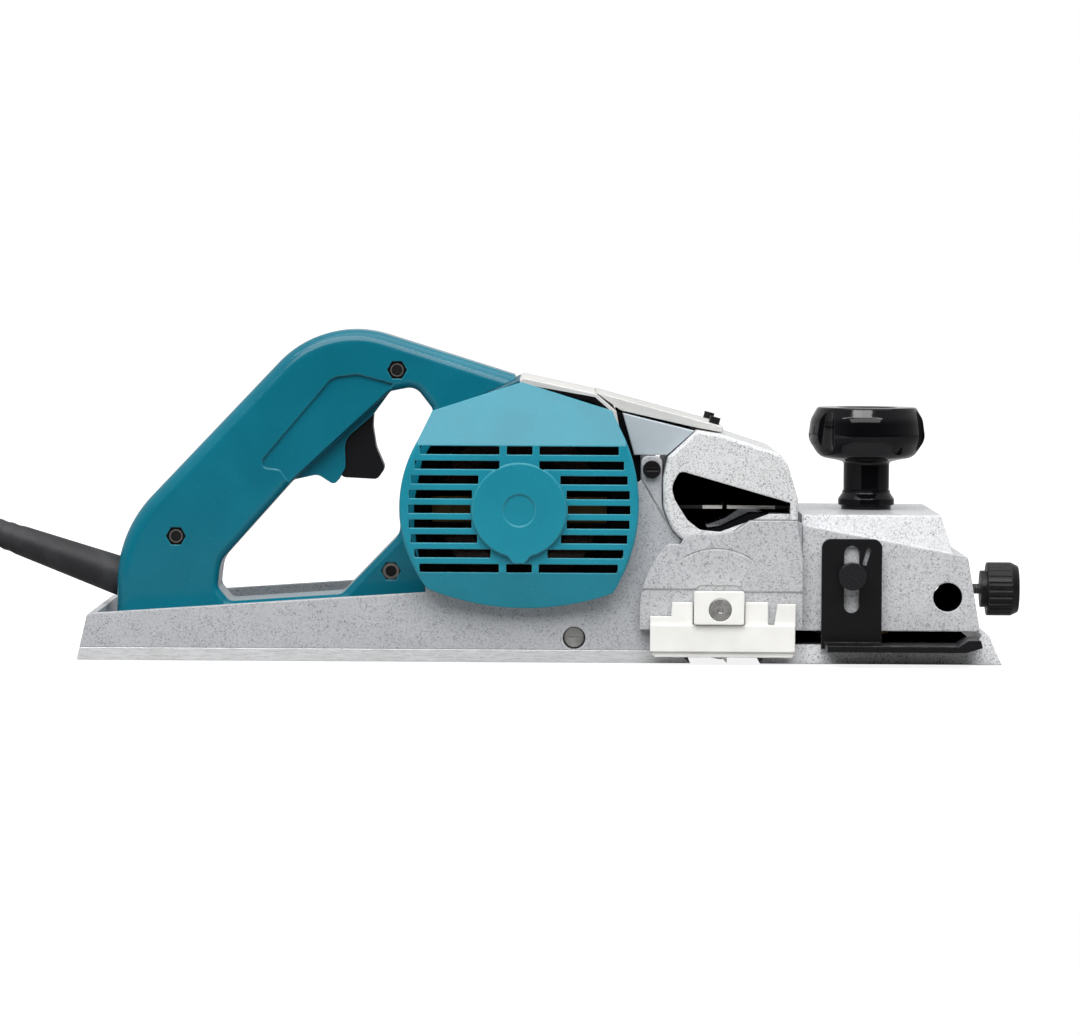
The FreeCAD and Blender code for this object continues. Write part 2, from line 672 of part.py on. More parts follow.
def make_brushes():
    holders, brushes = [], []
    for number, side in enumerate((-1, 1)):
        inner, outer = 13.3, 30
        span = sorted((side * inner, side * outer))
        low = (f"motor_x + {span[0]}", "-56", "motor_z - 3")
        high = (f"motor_x + {span[1]}", "-49", "motor_z + 3")
        brushes.append(block(f"brush_{number}", low, high))
        shell = sorted((side * 16, side * 41))
        low = (f"motor_x + {shell[0]}", "-59", "motor_z - 6")
        high = (f"motor_x + {shell[1]}", "-46", "motor_z + 6")
        case = block(f"brush_case_{number}", low, high)
        core = sorted((side * 15, side * 30))
        low = (f"motor_x + {core[0]}", "-56", "motor_z - 3")
        high = (f"motor_x + {core[1]}", "-49", "motor_z + 3")
        channel = block(f"brush_channel_{number}", low, high)
        holders.append(without(f"brush_holder_{number}", case, channel))
    group("brush_holders", holders)
    group("carbon_brushes", brushes)


def make_bearings():
    gap = "shaft_radius + running_gap"
    near = ring("motor_bearing_near", "motor_x", "motor_z", gap, "11", "-79", "-72")
    far = ring("motor_bearing_far", "motor_x", "motor_z", gap, "11", "55", "64")
    group("motor_bearings", [near, far])
    gap = "drum_shaft_radius + running_gap"
    near = ring("drum_bearing_near", "drum_x", "drum_z", gap, "9.5", "-75", "-70")
    far = ring("drum_bearing_far", "drum_x", "drum_z", gap, "14", "70", "78")
    group("drum_bearings", [near, far])


def make_drum():
    body = new_body("cutter_drum")
    add(body, "drum_barrel", "XZ_Plane", "drum_near", "drum_far",
        circles=[("drum_x", "drum_z", "drum_radius")])
    add(body, "drum_journal_near", "XZ_Plane", "-74.5", "drum_near",
        circles=[("drum_x", "drum_z", "drum_shaft_radius")])
    add(body, "drum_journal_far", "XZ_Plane", "drum_far", "93",
        circles=[("drum_x", "drum_z", "drum_shaft_radius")])
    x, z = size("drum_x"), size("drum_z")
    channels = [box_outline(x - 14, z + 15, x + 1, z + 26), box_outline(x - 1, z - 26, x + 14, z - 15)]
    for number, edges in enumerate(channels):
        cut(body, f"blade_channel_{number + 1}", "XZ_Plane", "drum_near", "drum_far", edges)
    make_blades(x, z)
    pulley("drum_pulley", "drum_x", "drum_z", "drum_shaft_radius", "drum_pulley_radius")


def make_blades(x, z):
    """Two straight blades on opposite sides of the drum, each under its clamping bar."""
    blades, bars, bolts = [], [], []
    reach = size("cut_radius")
    for number, side in enumerate((1, -1)):
        # The blade's edge is the only thing that stands out of the drum.
        blade = rounded([(x + side * 1, z + side * 15), (x + side * -1.2, z + side * 15),
                         (x + side * -1.2, z + side * (reach - 0.1)),
                         (x + side * 1, z + side * (reach - 2.4))])
        blades.append(prism(f"blade_{number}", blade, "XZ_Plane", "drum_near", "drum_far"))
        bar = rounded([(x + side * -1.3, z + side * 15), (x + side * -13.9, z + side * 15),
                       (x + side * -13.9, z + side * 18.6), (x + side * -9, z + side * 21.4),
                       (x + side * -1.3, z + side * 22.6)])
        whole = prism(f"blade_bar_{number}_whole", bar, "XZ_Plane", "drum_near", "drum_far")
        holes = []
        for place in (-56, -29, -2, 25, 52):
            seats = sorted((z + side * 15, z + side * 23.5))
            holes.append(rod(f"bar_hole_{number}_{place + 56}", "Z", (x - side * 7, place), seats[0],
                seats[1], "3.6"))
            heads = sorted((z + side * 15, z + side * 20.4))
            head = rod(f"bar_bolt_head_{number}_{place + 56}", "Z", (x - side * 7, place), heads[0],
                heads[1], "3.5")
            bolts.append(head)
        bars.append(without(f"blade_bar_{number}", whole, fused(f"bar_holes_{number}", holes)))
    group("planer_blades", blades)
    group("blade_bars", bars)
    group("blade_bolts", bolts)


def make_drum_side_plate():
    """The plate that closes the drum chamber on -Y and carries the drum's near bearing."""
    body = new_body("drum_side_plate")
    first, last = V(40, 21.5, 0), V(52.9, 55.9, 0)
    corners = [last, V(58, 55.8, 0)] + [V(x, z - 0.2, 0) for x, z in HOOD_FOOT]
    corners += [V(112.6, 67, 0), V(115.6, 50, 0), V(115.6, 16, 0), V(40, 16, 0), first]
    outline = [Part.Arc(first, V(43.1, 41.4, 0), last)]
    outline += [Part.LineSegment(one, two) for one, two in zip(corners, corners[1:])]
    add(body, "plate", "XZ_Plane", "-76", "-sole_half", outline)
    lip = rounded([
        (58.2, 53), (58.2, 55.4), (60.8, 59.5), (63.6, 60.9, 1), (73.3, 60.6), (83, 62.2), (84, 61),
        (77, 58), (67, 55.5), (63, 53),
    ])
    add(body, "hood_lip", "XZ_Plane", "-76", "-74.1", lip)
    recess = rounded([(35, 10), (118, 10), (118, 34), (88.3, 34), (85.5, 36.8, 2), (67.8, 36.8, 2),
        (65.5, 35), (35, 35)])
    cut(body, "guard_recess", "XZ_Plane", "-77", "-75.4", recess)
    cut(body, "turned_mark", "XZ_Plane", "-76.1", "-75.7", band_outline(75.5, 24.5, 29, 29.6, 55, 122))
    cut(body, "near_bearing_seat", "XZ_Plane", "-75.1", "-sole_half", circles=[("drum_x", "drum_z", "9.5")])


def make_blade_guard():
    """The sliding guard over the drum's end, with its block and screw."""
    body = new_body("blade_guard")
    outline = rounded([
        (44.6, 5.6, 2), (47, 3.4), (110.6, 3.4), (112, 5), (112.3, 28.4), (103.8, 28.4), (102.3, 18.6),
        (99.5, 18.6),
        (99.5, 29.2), (88.8, 29.2), (88.8, 18.6), (64.4, 18.6), (64.4, 29), (54.8, 29), (54.4, 22.4),
        (44.6, 22.4),
    ])
    add(body, "guard_plate", "XZ_Plane", "-79.2", "-76.3", outline)
    add(body, "guard_step", "XZ_Plane", "-80.4", "-79.2", box_outline(44.6, 6, 112, 18.4))
    clasp = new_body("guard_block")
    add(clasp, "clasp", "XZ_Plane", "-82.4", "-76.3", box_outline(64.9, 18.8, 88.3, 34.2, 0.8))
    cut(clasp, "clasp_hole", "XZ_Plane", "-83", "-76", circles=[("77.1", "25.7", "5.3")])
    head = rod("guard_screw_head", "Y", ("77.1", "25.7"), "-82.4", "-76.5", "5.1")
    hole = rod("guard_screw_socket", "Y", ("77.1", "25.7"), "-83", "-80.4", "1.4")
    keep(without("guard_screw", head, hole), "guard_screw")


# ---------------------------------------------------------------- belt drive

def make_belt():
    gap = size("body_gap")
    inner = two_circle_outline(size("motor_x"), size("motor_z"), size("motor_pulley_radius") + gap,
                               size("drum_x"), size("drum_z"), size("drum_pulley_radius") + gap)
    thick = size("belt_thickness")
    outer = two_circle_outline(size("motor_x"), size("motor_z"), size("motor_pulley_radius") + gap + thick,
                               size("drum_x"), size("drum_z"), size("drum_pulley_radius") + gap + thick)
    body = new_body("drive_belt")
    add(body, "belt_loop", "XZ_Plane", "belt_low", "belt_high", outer + inner)


COVER_SCREWS = [("-16.5", "105.2"), ("-51.1", "71"), ("31.5", "48.1"), ("108.2", "25.5")]


def make_belt_cover():
    body = new_body("belt_cover")
    outer = two_circle_outline(size("motor_x"), size("motor_z"), 30, size("drum_x"), size("drum_z"), 24.2)
    inner = two_circle_outline(size("motor_x"), size("motor_z"), 27.5, size("drum_x"), size("drum_z"), 21.7)
    add(body, "cover_shell", "XZ_Plane", "sole_half", "side_reach", outer)
    round_edges(body, "cover_round", 5, lambda point: abs(point.y - size("side_reach")) < 1e-4)
    cut(body, "cover_cavity", "XZ_Plane", "sole_half", "side_reach - 2", inner)
    ears = [(x, z, "5.2") for x, z in COVER_SCREWS]
    for number, ear in enumerate(ears):
        inside = number == 2
        add(body, f"ear_{number + 1}", "XZ_Plane", "sole_half",
            "side_reach - 2" if inside else "sole_half + 9",
            circles=[ear])
    cut(body, "cover_screw_holes", "XZ_Plane", "sole_half", "side_reach",
        circles=[(x, z, "2.2") for x, z in COVER_SCREWS])
    cut(body, "cover_head_recess", "XZ_Plane", "side_reach - 4", "side_reach",
        circles=[(*COVER_SCREWS[2], "4.3")])
    screws = []
    for number, (x, z) in enumerate(COVER_SCREWS):
        under = "side_reach - 4" if number == 2 else "sole_half + 9"
        shank = rod(f"cover_screw_shank_{number}", "Y", (x, z), "sole_half", under, "2")
        head = rod(f"cover_screw_head_{number}", "Y", (x, z), under, f"{under} + 3", "3.9")
        screws.append(fused(f"cover_screw_{number}", [shank, head]))
    group("belt_cover_screws", screws)


# ---------------------------------------------------------------- chip hood and top

# The hood's lower edge, which the drum's side plate follows just below.
HOOD_FOOT = [(63, 54.6), (67, 57.2), (77, 59.8), (84, 62.4), (90.8, 67.2)]
OUTLET = [
    (58.1, 90, 3), (109.6, 75.3), (109.6, 66.9), (91.8, 66.9, 2), (86, 63.4, 6), (77, 61.6, 8),
    (67.6, 62.4, 6),
    (61.6, 67.1, 8), (55.9, 76.3, 8), (54, 82.4, 8),
]


def make_chip_hood():
    body = new_body("chip_hood")
    outer = rounded([
        (65.9, 108.8), (77.5, 107, 6), (104.5, 98.2, 6), (108.4, 93), (113.2, 77), (113.2, 67.2),
    ] + HOOD_FOOT[::-1] + [(54.6, 62.4, 12), (50.6, 72, 12), (50.2, 86, 8), (52.6, 96.4)])
    add(body, "hood_block", "XZ_Plane", "-74", "58", outer)
    round_edges(body, "hood_near_edge", 1.8, lambda point: abs(point.y + 74) < 1e-4 and point.z > 68)
    hollow = rounded([
        (66.8, 105.6), (77, 103.8, 4), (102, 95.6, 4), (105.6, 91), (109.6, 77), (109.6, 70), (91, 70, 3),
        (78, 63.6, 9), (67, 61), (62.5, 63, 6), (55, 73, 8), (54, 85, 6), (56, 95),
    ])
    cut(body, "hood_hollow", "XZ_Plane", "-71", "55", hollow)
    cut(body, "hood_outlet", "XZ_Plane", "-74.1", "-70.9", rounded(OUTLET))
    throat = box_outline(72, 54, 98, 72)
    cut(body, "hood_throat", "XZ_Plane", "-50", "50", throat)


def make_chip_deflector():
    body = new_body("chip_deflector")
    add(body, "deflector_plate", "XZ_Plane", "-58", "50", box_outline(56.5, 71.7, 109.2, 73.3))
    cut(body, "deflector_gap", "XY_Plane", "71", "74", box_outline(78.4, -59, 80.7, -20))


def make_top_plate():
    body = new_body("top_plate")
    side = rounded([(19.4, 125.9), (78.5, 110.1), (78.5, 107.4), (66.5, 109.6), (30.7, 117.5),
        (19.4, 125.4)])
    add(body, "top_sheet", "XZ_Plane", "-60", "50", side)
    screws = []
    tilt = FreeCAD.Rotation(V(0, 1, 0), 15)
    for number, y in enumerate((-45, 40)):
        screw = doc.addObject("Part::Cylinder", f"hood_screw_{number}")
        screw.Radius = 2.5
        screw.Height = 3.2
        screw.Placement = FreeCAD.Placement(V(74.6, y, 111.2), tilt)
        socket = doc.addObject("Part::Cylinder", f"hood_screw_socket_{number}")
        socket.Radius = 1.3
        socket.Height = 2
        socket.Placement = FreeCAD.Placement(V(74.6, y, 111.2) + tilt.multVec(V(0, 0, 1.8)), tilt)
        screws.append(without(f"hood_screw_cut_{number}", screw, socket))
    group("hood_screws", screws)


def make_fan_duct():
    body = new_body("fan_duct")
    side = rounded([(31.6, 116.4), (65, 108.32), (52.4, 97), (37, 97)])
    add(body, "duct_block", "XZ_Plane", "-66", "50", side)
    cut(body, "duct_hollow", "XZ_Plane", "-63", "47",
        rounded([(36.4, 112.6), (58.6, 107.2), (51, 100), (39.4, 100)]))
    flange = rounded([
        (29, 117.2), (31.5, 104), (34.5, 92), (34.5, 84), (40, 84), (40, 97.2), (37.8, 97.4), (32.4, 116),
    ])
    add(body, "duct_flange", "XZ_Plane", "-62", "20", flange)
    head = rod("duct_screw_head", "Y", ("45.1", "90.4"), "-sole_half - 3", "-sole_half", "4.2")
    slot = block("duct_screw_slot", ("45.1 - 3", "-sole_half - 4", "90.4 - 0.6"),
                 ("45.1 + 3", "-sole_half - 1.8", "90.4 + 0.6"))
    keep(without("duct_screw", head, slot), "duct_screw")


# ---------------------------------------------------------------- front

def make_front_housing():
    body = new_body("front_housing")
    lower = rounded([(115.7, 64.8), (193, 50.3, 2), (198.9, 15.4), (115.7, 15.4)])
    add(body, "lower_block", "XZ_Plane", "-68", "68", lower)
    upper = rounded([(-60.5, 69.4), (60.5, 69.4), (66, 50), (66, 40), (-66, 40), (-66, 50)])
    add(body, "upper_block", "YZ_Plane", "115.7", "186.5", upper)
    add(body, "gauge_pad", "XZ_Plane", "-70.2", "-68", box_outline(124.5, 17, 152.6, 55, 3))
    cut(body, "upper_slope", "XZ_Plane", "-69", "69",
        rounded([(180.6, 69.5), (186, 52.5), (195, 50), (195, 69.5)]))
    round_edges(body, "roof_round", 1.5, lambda point: point.z > 69 and abs(point.y) > 55)
    cut(body, "housing_hollow", "XY_Plane", "15", "65", box_outline(138, -60, 172, 60, 4))
    cut(body, "rear_hollow", "XY_Plane", "15", "60", box_outline(120, -36, 134, 36, 3))
    cut(body, "post_bores", "XY_Plane", "15", "50", circles=[
        ("post_x", "post_y", "post_radius + 0.08"), ("post_x", "-post_y", "post_radius + 0.08")])
    cut(body, "depth_screw_bore", "XY_Plane", "55", "75", circles=[("knob_x", "0", "screw_radius + 0.08")])
    cut(body, "rule_bore", "XZ_Plane", "-70", "70", circles=[("rule_x", "rule_z", "rule_radius")])
    cut(body, "clamp_bore", "YZ_Plane", "rule_x", "205", circles=[("0", "rule_z", "2.45")])
    cut(body, "gauge_screw_bore", "XZ_Plane", "-71", "-56", circles=[("gauge_x", "gauge_z", "2.55")])


def make_front_base():
    body = new_body("front_base")
    side = rounded([
        (96.2, 0), (98.5, 3.1), (112.5, 9.9), (197.5, 9.9), (200, 14, 0.8), (203, 14, 1), (205.8, 7),
        (209.2, 0),
    ])
    add(body, "base_plate", "XZ_Plane", "-sole_half", "sole_half", side)
    posts = [rod(f"guide_post_{n}", "Z", ("post_x", y), "9.9", "44", "post_radius")
             for n, y in enumerate(("-post_y", "post_y"))]
    group("guide_posts", posts)
    nut = new_body("depth_nut")
    add(nut, "nut_flange", "XY_Plane", "9.9", "13.9",
        circles=[("knob_x", "0", "11"), ("knob_x", "0", "screw_radius + 0.08")])
    add(nut, "nut_neck", "XY_Plane", "13.9", "26",
        circles=[("knob_x", "0", "8"), ("knob_x", "0", "screw_radius + 0.08")])


def make_depth_spring():
    """The spring between the front base's nut and the housing's roof."""
    low, high, wire, turns = 15.1, 59.8, 0.9, 7
    radius = 10.2
    helix = Part.makeHelix((high - low) / turns, high - low, radius)
    section = Part.Wire([Part.makeCircle(wire, V(radius, 0, 0), V(0, 1, 0))])
    coil = Part.Wire(helix.Edges).makePipeShell([section], True, True)
    spring = doc.addObject("Part::Feature", "depth_spring")
    spring.Shape = coil
    spring.Placement.Base = V(size("knob_x"), 0, low)
    keep(spring, "depth_spring")


KNOB = [
    (0, 78.5), (10.9, 78.5, 0.4), (10.9, 92, 1.5), (15, 93.1, 2), (22.5, 94.4, 7), (28.1, 103, 8),
    (26.8, 112.5, 8), (23.6, 118.2, 1.5), (14.6, 118.2), (13.4, 116.6), (0, 116.6),
]
KNOB_RING = [
    (4, 69.5), (12, 69.5), (12, 71), (13.4, 71.6), (13.4, 74.4, 0.6), (11.4, 77.4, 1.5), (11.4, 78.5),
    (4, 78.5),
]
# Three finger grooves, each a cylinder of its own beside the knob.
KNOB_GROOVES = (101, 221, 341)
GROOVE_REACH = 31.4


def make_knob():
    body = new_body("front_knob")
    turn(body, "knob_profile_turned", KNOB, "knob_x")
    for number, angle in enumerate(math.radians(degrees) for degrees in KNOB_GROOVES):
        groove = [(f"{GROOVE_REACH * math.cos(angle):.4f}", f"{GROOVE_REACH * math.sin(angle):.4f}", "7")]
        cut(body, f"knob_groove_{number + 1}", "XY_Plane", "93", "knob_top + 1", circles=groove)
    cut(body, "knob_bore", "XY_Plane", "78", "100", circles=[("0", "0", "screw_radius")])
    turn(new_body("knob_ring"), "knob_ring_turned", KNOB_RING, "knob_x")
    keep(rod("depth_screw", "Z", ("knob_x", "0"), "14.4", "100", "screw_radius"), "depth_screw")


def make_clamp_screw():
    keep(rod("clamp_screw", "X", ("0", "rule_z"), "rule_x + rule_radius + 0.6", "210", "2.4"),
        "clamp_screw")
    body = new_body("clamp_knob")
    body.Placement.Rotation = TURNED["X"]
    profile = rounded([
        (2.4, 204.4), (8.8, 204.4), (8.8, 207.3), (12.8, 207.3, 0.6), (12.8, 219, 2), (11, 222.65, 1.2),
        (0, 222.65), (0, 210), (2.4, 210),
    ])
    sketch = body.newObject("Sketcher::SketchObject", "clamp_profile")
    plane = next(f for f in body.Origin.OriginFeatures if f.Role == "XZ_Plane")
    sketch.AttachmentSupport = [(plane, "")]
    sketch.MapMode = "FlatFace"
    sketch.addGeometry(profile, False)
    revolution = body.newObject("PartDesign::Revolution", "clamp_turned")
    revolution.Profile = sketch
    revolution.ReferenceAxis = (sketch, ["V_Axis"])
    flutes = []
    for number in range(CLAMP_FLUTES):
        angle = 2 * math.pi * number / CLAMP_FLUTES
        flutes.append((f"{13.1 * math.cos(angle):.4f}", f"{13.1 * math.sin(angle):.4f}", "0.8"))
    cut(body, "clamp_flutes", "XY_Plane", "208", "219", circles=flutes)
    body.Placement.Base = V(0, 0, size("rule_z"))


CLAMP_FLUTES = 24


def make_depth_gauge():
    body = new_body("depth_gauge")
    plate = rounded([(124.5, 7.3), (124.5, 58.6, 4.2), (152.6, 58.6, 4.2), (152.6, 7.3)])
    add(body, "gauge_plate", "XZ_Plane", "-73", "-70.5", plate)
    foot = rounded([
        (126.2, 10.2), (187, 10.2), (191.5, 13.1, 1), (197.2, 13.1, 1), (198, 9.6), (190.2, 7.3),
        (126.2, 7.3),
    ])
    add(body, "gauge_foot", "XZ_Plane", "-side_reach", "-70.5", foot)
    slot = rounded([(135, 24.1, 3.4), (142, 24.1, 3.4), (142, 55.4, 3.4), (135, 55.4, 3.4)])
    cut(body, "gauge_slot", "XZ_Plane", "-73.1", "-70.4", slot)
    tick = rounded([(143.4, 46.6, 0.6), (145.4, 46.2, 0.6), (147.6, 54.2, 0.6), (145.6, 54.6, 0.6)])
    cut(body, "gauge_notch", "XZ_Plane", "-73.1", "-70.4", tick)
    shank = rod("gauge_screw_shank", "Y", ("gauge_x", "gauge_z"), "-73.3", "-58", "2.5")
    head = rod("gauge_screw_head", "Y", ("gauge_x", "gauge_z"), "-82", "-73.3", "6.4")
    keep(fused("gauge_screw", [shank, head]), "gauge_screw")


# ---------------------------------------------------------------- cord

def make_cord_guard():
    guard = doc.addObject("Part::Cone", "cord_guard")
    guard.Radius1 = 9.35
    guard.Radius2 = 6.2
    guard.setExpression("Height", bound("guard_length"))
    tilt = FreeCAD.Rotation(V(0, 1, 0), size("guard_angle") - 90)
    guard.Placement = FreeCAD.Placement(V(size("guard_root_x"), 0, size("guard_root_z")), tilt)
    keep(guard, "cord_guard")


def guard_end():
    angle = math.radians(size("guard_angle"))
    reach = size("guard_length")
    return V(size("guard_root_x") - reach * math.cos(angle), 0,
        size("guard_root_z") + reach * math.sin(angle))


COIL_X = -357
COIL_Y = 30
COIL_RADIUS = 49.5
# The cord's way from its guard down to the coil; the first point is the guard's end.
ROUTE = [
    (-276.35, 0, 59.1), (-300.6, -1, 67.4), (-326, -6, 66), (-349, -13, 51), (-366, -18, 31.5),
    (-386, -19.4, 19.5),
]


def make_cord():
    points = [guard_end()] + [V(*p) for p in ROUTE[1:]]
    edges = []
    ends = [points[0]]
    for back, corner, ahead in zip(points, points[1:], points[2:]):
        one, two = back - corner, ahead - corner
        bend = math.pi - one.getAngle(two)
        run = min(one.Length, two.Length)
        radius = 0.45 * run / math.tan(bend / 2)
        print(f"cord bend radius {radius:.1f} mm for a turn of {math.degrees(bend):.0f} degrees")
        start = corner + V(one).normalize() * 0.45 * run
        end = corner + V(two).normalize() * 0.45 * run
        halfway = (V(one).normalize() + V(two).normalize()).normalize()
        centre = corner + halfway * (radius / math.cos(bend / 2))
        middle = centre + (corner - centre).normalize() * radius
        edges.append(Part.LineSegment(ends[-1], start).toShape())
        edges.append(Part.Arc(start, middle, end).toShape())
        ends.append(end)
    edges.append(Part.LineSegment(ends[-1], points[-1]).toShape())
    path = Part.Wire(edges)
    first = (points[1] - points[0]).normalize()
    section = Part.Wire([Part.makeCircle(size("cord_radius"), points[0], first)])
    tube = path.makePipeShell([section], True, False)
    expected = math.pi * size("cord_radius") ** 2 * path.Length
    print(f"cord run {path.Length:.1f} mm, volume over section times length {tube.Volume / expected:.4f}")
    cord = doc.addObject("Part::Feature", "cord")
    cord.Shape = tube
    keep(cord, "cord")


def make_cord_coil():
    body = new_body("cord_coil")
    inner, outer, height = COIL_RADIUS - 13.5, COIL_RADIUS + 13.5, 24
    turn(body, "coil_turned", [(inner, 0, 5), (outer, 0, 5), (outer, height, 8), (inner, height, 8)])
    body.Placement.Base = V(COIL_X, COIL_Y, 0)


def make_plug():
    body = new_body("plug")
    add(body, "plug_body", "YZ_Plane", "0", "34", box_outline(-13, 0.5, 13, 25, 8))
    for side in (-1, 1):
        add(body, f"pin_{(side + 3) // 2}", "YZ_Plane", "34", "53",
            circles=[(f"{6.35 * side}", "12.75", "2.2")])
    body.Placement.Base = V(COIL_X - 13, COIL_Y + COIL_RADIUS, 23.5)


def report_and_export():
    doc.recompute()
    for item in doc.Objects:
        if "Invalid" in item.State or "Error" in item.State:
            raise RuntimeError(f"{item.Label} failed to rebuild: {item.State}")
    for part in nodes:
        if part.Shape.isNull() or not part.Shape.isValid():
            raise RuntimeError(f"{part.Label} has no valid shape")
    os.makedirs("parts", exist_ok=True)
    for part in nodes:
        part.Shape.exportStep(f"parts/{part.Label}.step")
        box = part.Shape.optimalBoundingBox()
        spans = f"x {box.XMin:.1f} {box.XMax:.1f} y {box.YMin:.1f} {box.YMax:.1f}"
        print(f"{part.Label:22s} {part.Shape.Volume / 1000:8.1f} cm3 {len(part.Shape.Solids)} solids "
              f"{spans} z {box.ZMin:.1f} {box.ZMax:.1f}")
    print(f"{len(nodes)} nodes")


fill_sheet()
make_rear_sole()
make_sole_screws()
make_frame_casting()
make_side_screw()
make_motor_housing()
make_end_cover()
make_handle_half("handle_right", -1)
make_handle_half("handle_left", 1)
make_handle_fasteners()
make_trigger()
make_grip_internals()
make_rotor()
make_stator()
make_brushes()
make_bearings()
make_drum()
make_drum_side_plate()
make_blade_guard()
make_belt()
make_belt_cover()
make_chip_hood()
make_chip_deflector()
make_top_plate()
make_fan_duct()
make_front_housing()
make_front_base()
make_depth_spring()
make_knob()
make_clamp_screw()
make_depth_gauge()
make_cord_guard()
make_cord()
make_cord_coil()
make_plug()
report_and_export()
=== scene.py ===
"""The looks of a portable electric planer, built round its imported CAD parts, in metres."""
import math

import bmesh
import bpy
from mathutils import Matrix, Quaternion, Vector


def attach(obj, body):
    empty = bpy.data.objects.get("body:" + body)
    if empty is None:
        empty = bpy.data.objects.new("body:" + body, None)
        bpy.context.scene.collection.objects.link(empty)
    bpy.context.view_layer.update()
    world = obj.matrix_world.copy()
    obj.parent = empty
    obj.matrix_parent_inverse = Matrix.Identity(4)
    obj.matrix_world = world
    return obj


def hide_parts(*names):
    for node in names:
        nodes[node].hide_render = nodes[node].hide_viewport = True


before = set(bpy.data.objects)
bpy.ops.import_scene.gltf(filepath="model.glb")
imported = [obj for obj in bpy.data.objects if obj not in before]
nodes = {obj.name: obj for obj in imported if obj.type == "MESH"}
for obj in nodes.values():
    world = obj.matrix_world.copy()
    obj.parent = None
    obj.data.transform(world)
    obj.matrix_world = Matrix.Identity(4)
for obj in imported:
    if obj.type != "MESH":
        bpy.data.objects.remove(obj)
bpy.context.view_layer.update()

MM = 0.001


def link(name, data):
    made = bpy.data.objects.new(name, data)
    bpy.context.scene.collection.objects.link(made)
    return made


# ---------------------------------------------------------------- camera

def make_camera():
    """Level side view along +Y, slightly from above, from 2.5 m away."""
    target = Vector((-0.00685, 0.0, 0.06456))
    distance, elevation, roll = 2.5, math.radians(2.7), math.radians(0.35)
    data = bpy.data.cameras.new("camera")
    data.lens = 173.8
    data.clip_end = 60
    camera = link("camera", data)
    camera.location = target + distance * Vector((0, -math.cos(elevation), math.sin(elevation)))
    look = (target - camera.location).to_track_quat("-Z", "Y")
    camera.rotation_mode = "QUATERNION"
    camera.rotation_quaternion = look @ Quaternion((0, 0, 1), roll)
    bpy.context.scene.camera = camera


make_camera()


# ---------------------------------------------------------------- cord

CORD_RADIUS = 0.0045
# The same points as the CAD tube's route, from the end of the tapered guard down to the coil, in mm.
ROUTE = [
    (-276.35, 0, 59.1), (-300.6, -1, 67.4), (-326, -6, 66), (-349, -13, 51), (-366, -18, 31.5),
    (-386, -19.4, 19.5),
]
# The tube's last point lies where it meets the coil. The cord itself comes down there in a wider bend.
LANDING = (-384.2, -18.2, 27.6)
COIL = (-357, 30)
# The turns' places in the coil's section, as (radius, height), in the order in which the cord fills them.
SLOTS = [(57.5, 19.6), (54, 12.1), (58.3, 4.6), (49.4, 4.6), (40.5, 4.6), (45, 12.1), (48.3, 19.6)]
# The first turn starts a little wide and high, as (radius, height), which eases that bend.
LEAD_IN = [(59, 21.8), (60, 21.1), (59, 20.8)]
# From the last turn up to the plug that lies on the coil.
TAIL = [
    (-396.5, 2.4, 21), (-405, 20, 25), (-410.9, 37.5, 29), (-409.7, 51.9, 32), (-402.2, 64.5, 35),
    (-391, 73.9, 36.5), (-380.9, 78.1, 36.3), (-370, 79.5, 36.25), (-364, 79.5, 36.25),
]
STEPS = 16
SHIFT = 4
START_ANGLE = math.radians(-138)


def coil_points():
    """Seven full turns, clockwise from above, each with a short shift across to the next one."""
    points = []
    angle = START_ANGLE
    for slot, following in zip(SLOTS, SLOTS[1:] + SLOTS[-1:]):
        for step in range(STEPS):
            part = max(0, step - (STEPS - SHIFT)) / SHIFT
            radius, height = (one + (two - one) * part for one, two in zip(slot, following))
            if len(points) < len(LEAD_IN):
                radius, height = LEAD_IN[len(points)]
            points.append((COIL[0] + radius * math.cos(angle), COIL[1] + radius * math.sin(angle), height))
            angle -= 2 * math.pi / STEPS
    return points


def make_cord():
    points = ROUTE[:-1] + [LANDING] + coil_points() + TAIL
    data = bpy.data.curves.new("mains_cord", "CURVE")
    data.dimensions = "3D"
    # The tube's radius is the depth times each point's own radius, which the curve's box is grown by too.
    data.bevel_depth = 1.0
    data.bevel_resolution = 5
    data.resolution_u = 8
    spline = data.splines.new("NURBS")
    spline.points.add(len(points) - 1)
    for point, at in zip(spline.points, points):
        point.co = (*(value * MM for value in at), 1)
        point.radius = CORD_RADIUS
    spline.order_u = 3
    spline.use_endpoint_u = True
    cord = link("mains_cord", data)
    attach(cord, "tool")
    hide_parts("cord", "cord_coil")
    return cord


# ---------------------------------------------------------------- meshes

def mesh_piece(name, build, body, smooth=True):
    """A mesh object that a function fills, riding on a body."""
    mesh = bpy.data.meshes.new(name)
    made = bmesh.new()
    build(made)
    bmesh.ops.recalc_face_normals(made, faces=made.faces)
    made.to_mesh(mesh)
    made.free()
    for face in mesh.polygons:
        face.use_smooth = smooth
    piece = link(name, mesh)
    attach(piece, body)
    return piece


def loft(made, rings, closed_ends=True):
    """Faces between rings of equally many points."""
    loops = [[made.verts.new(point) for point in ring] for ring in rings]
    for one, two in zip(loops, loops[1:]):
        for i in range(len(one)):
            j = (i + 1) % len(one)
            made.faces.new((one[i], one[j], two[j], two[i]))
    if closed_ends:
        made.faces.new(loops[0][::-1])
        made.faces.new(loops[-1])


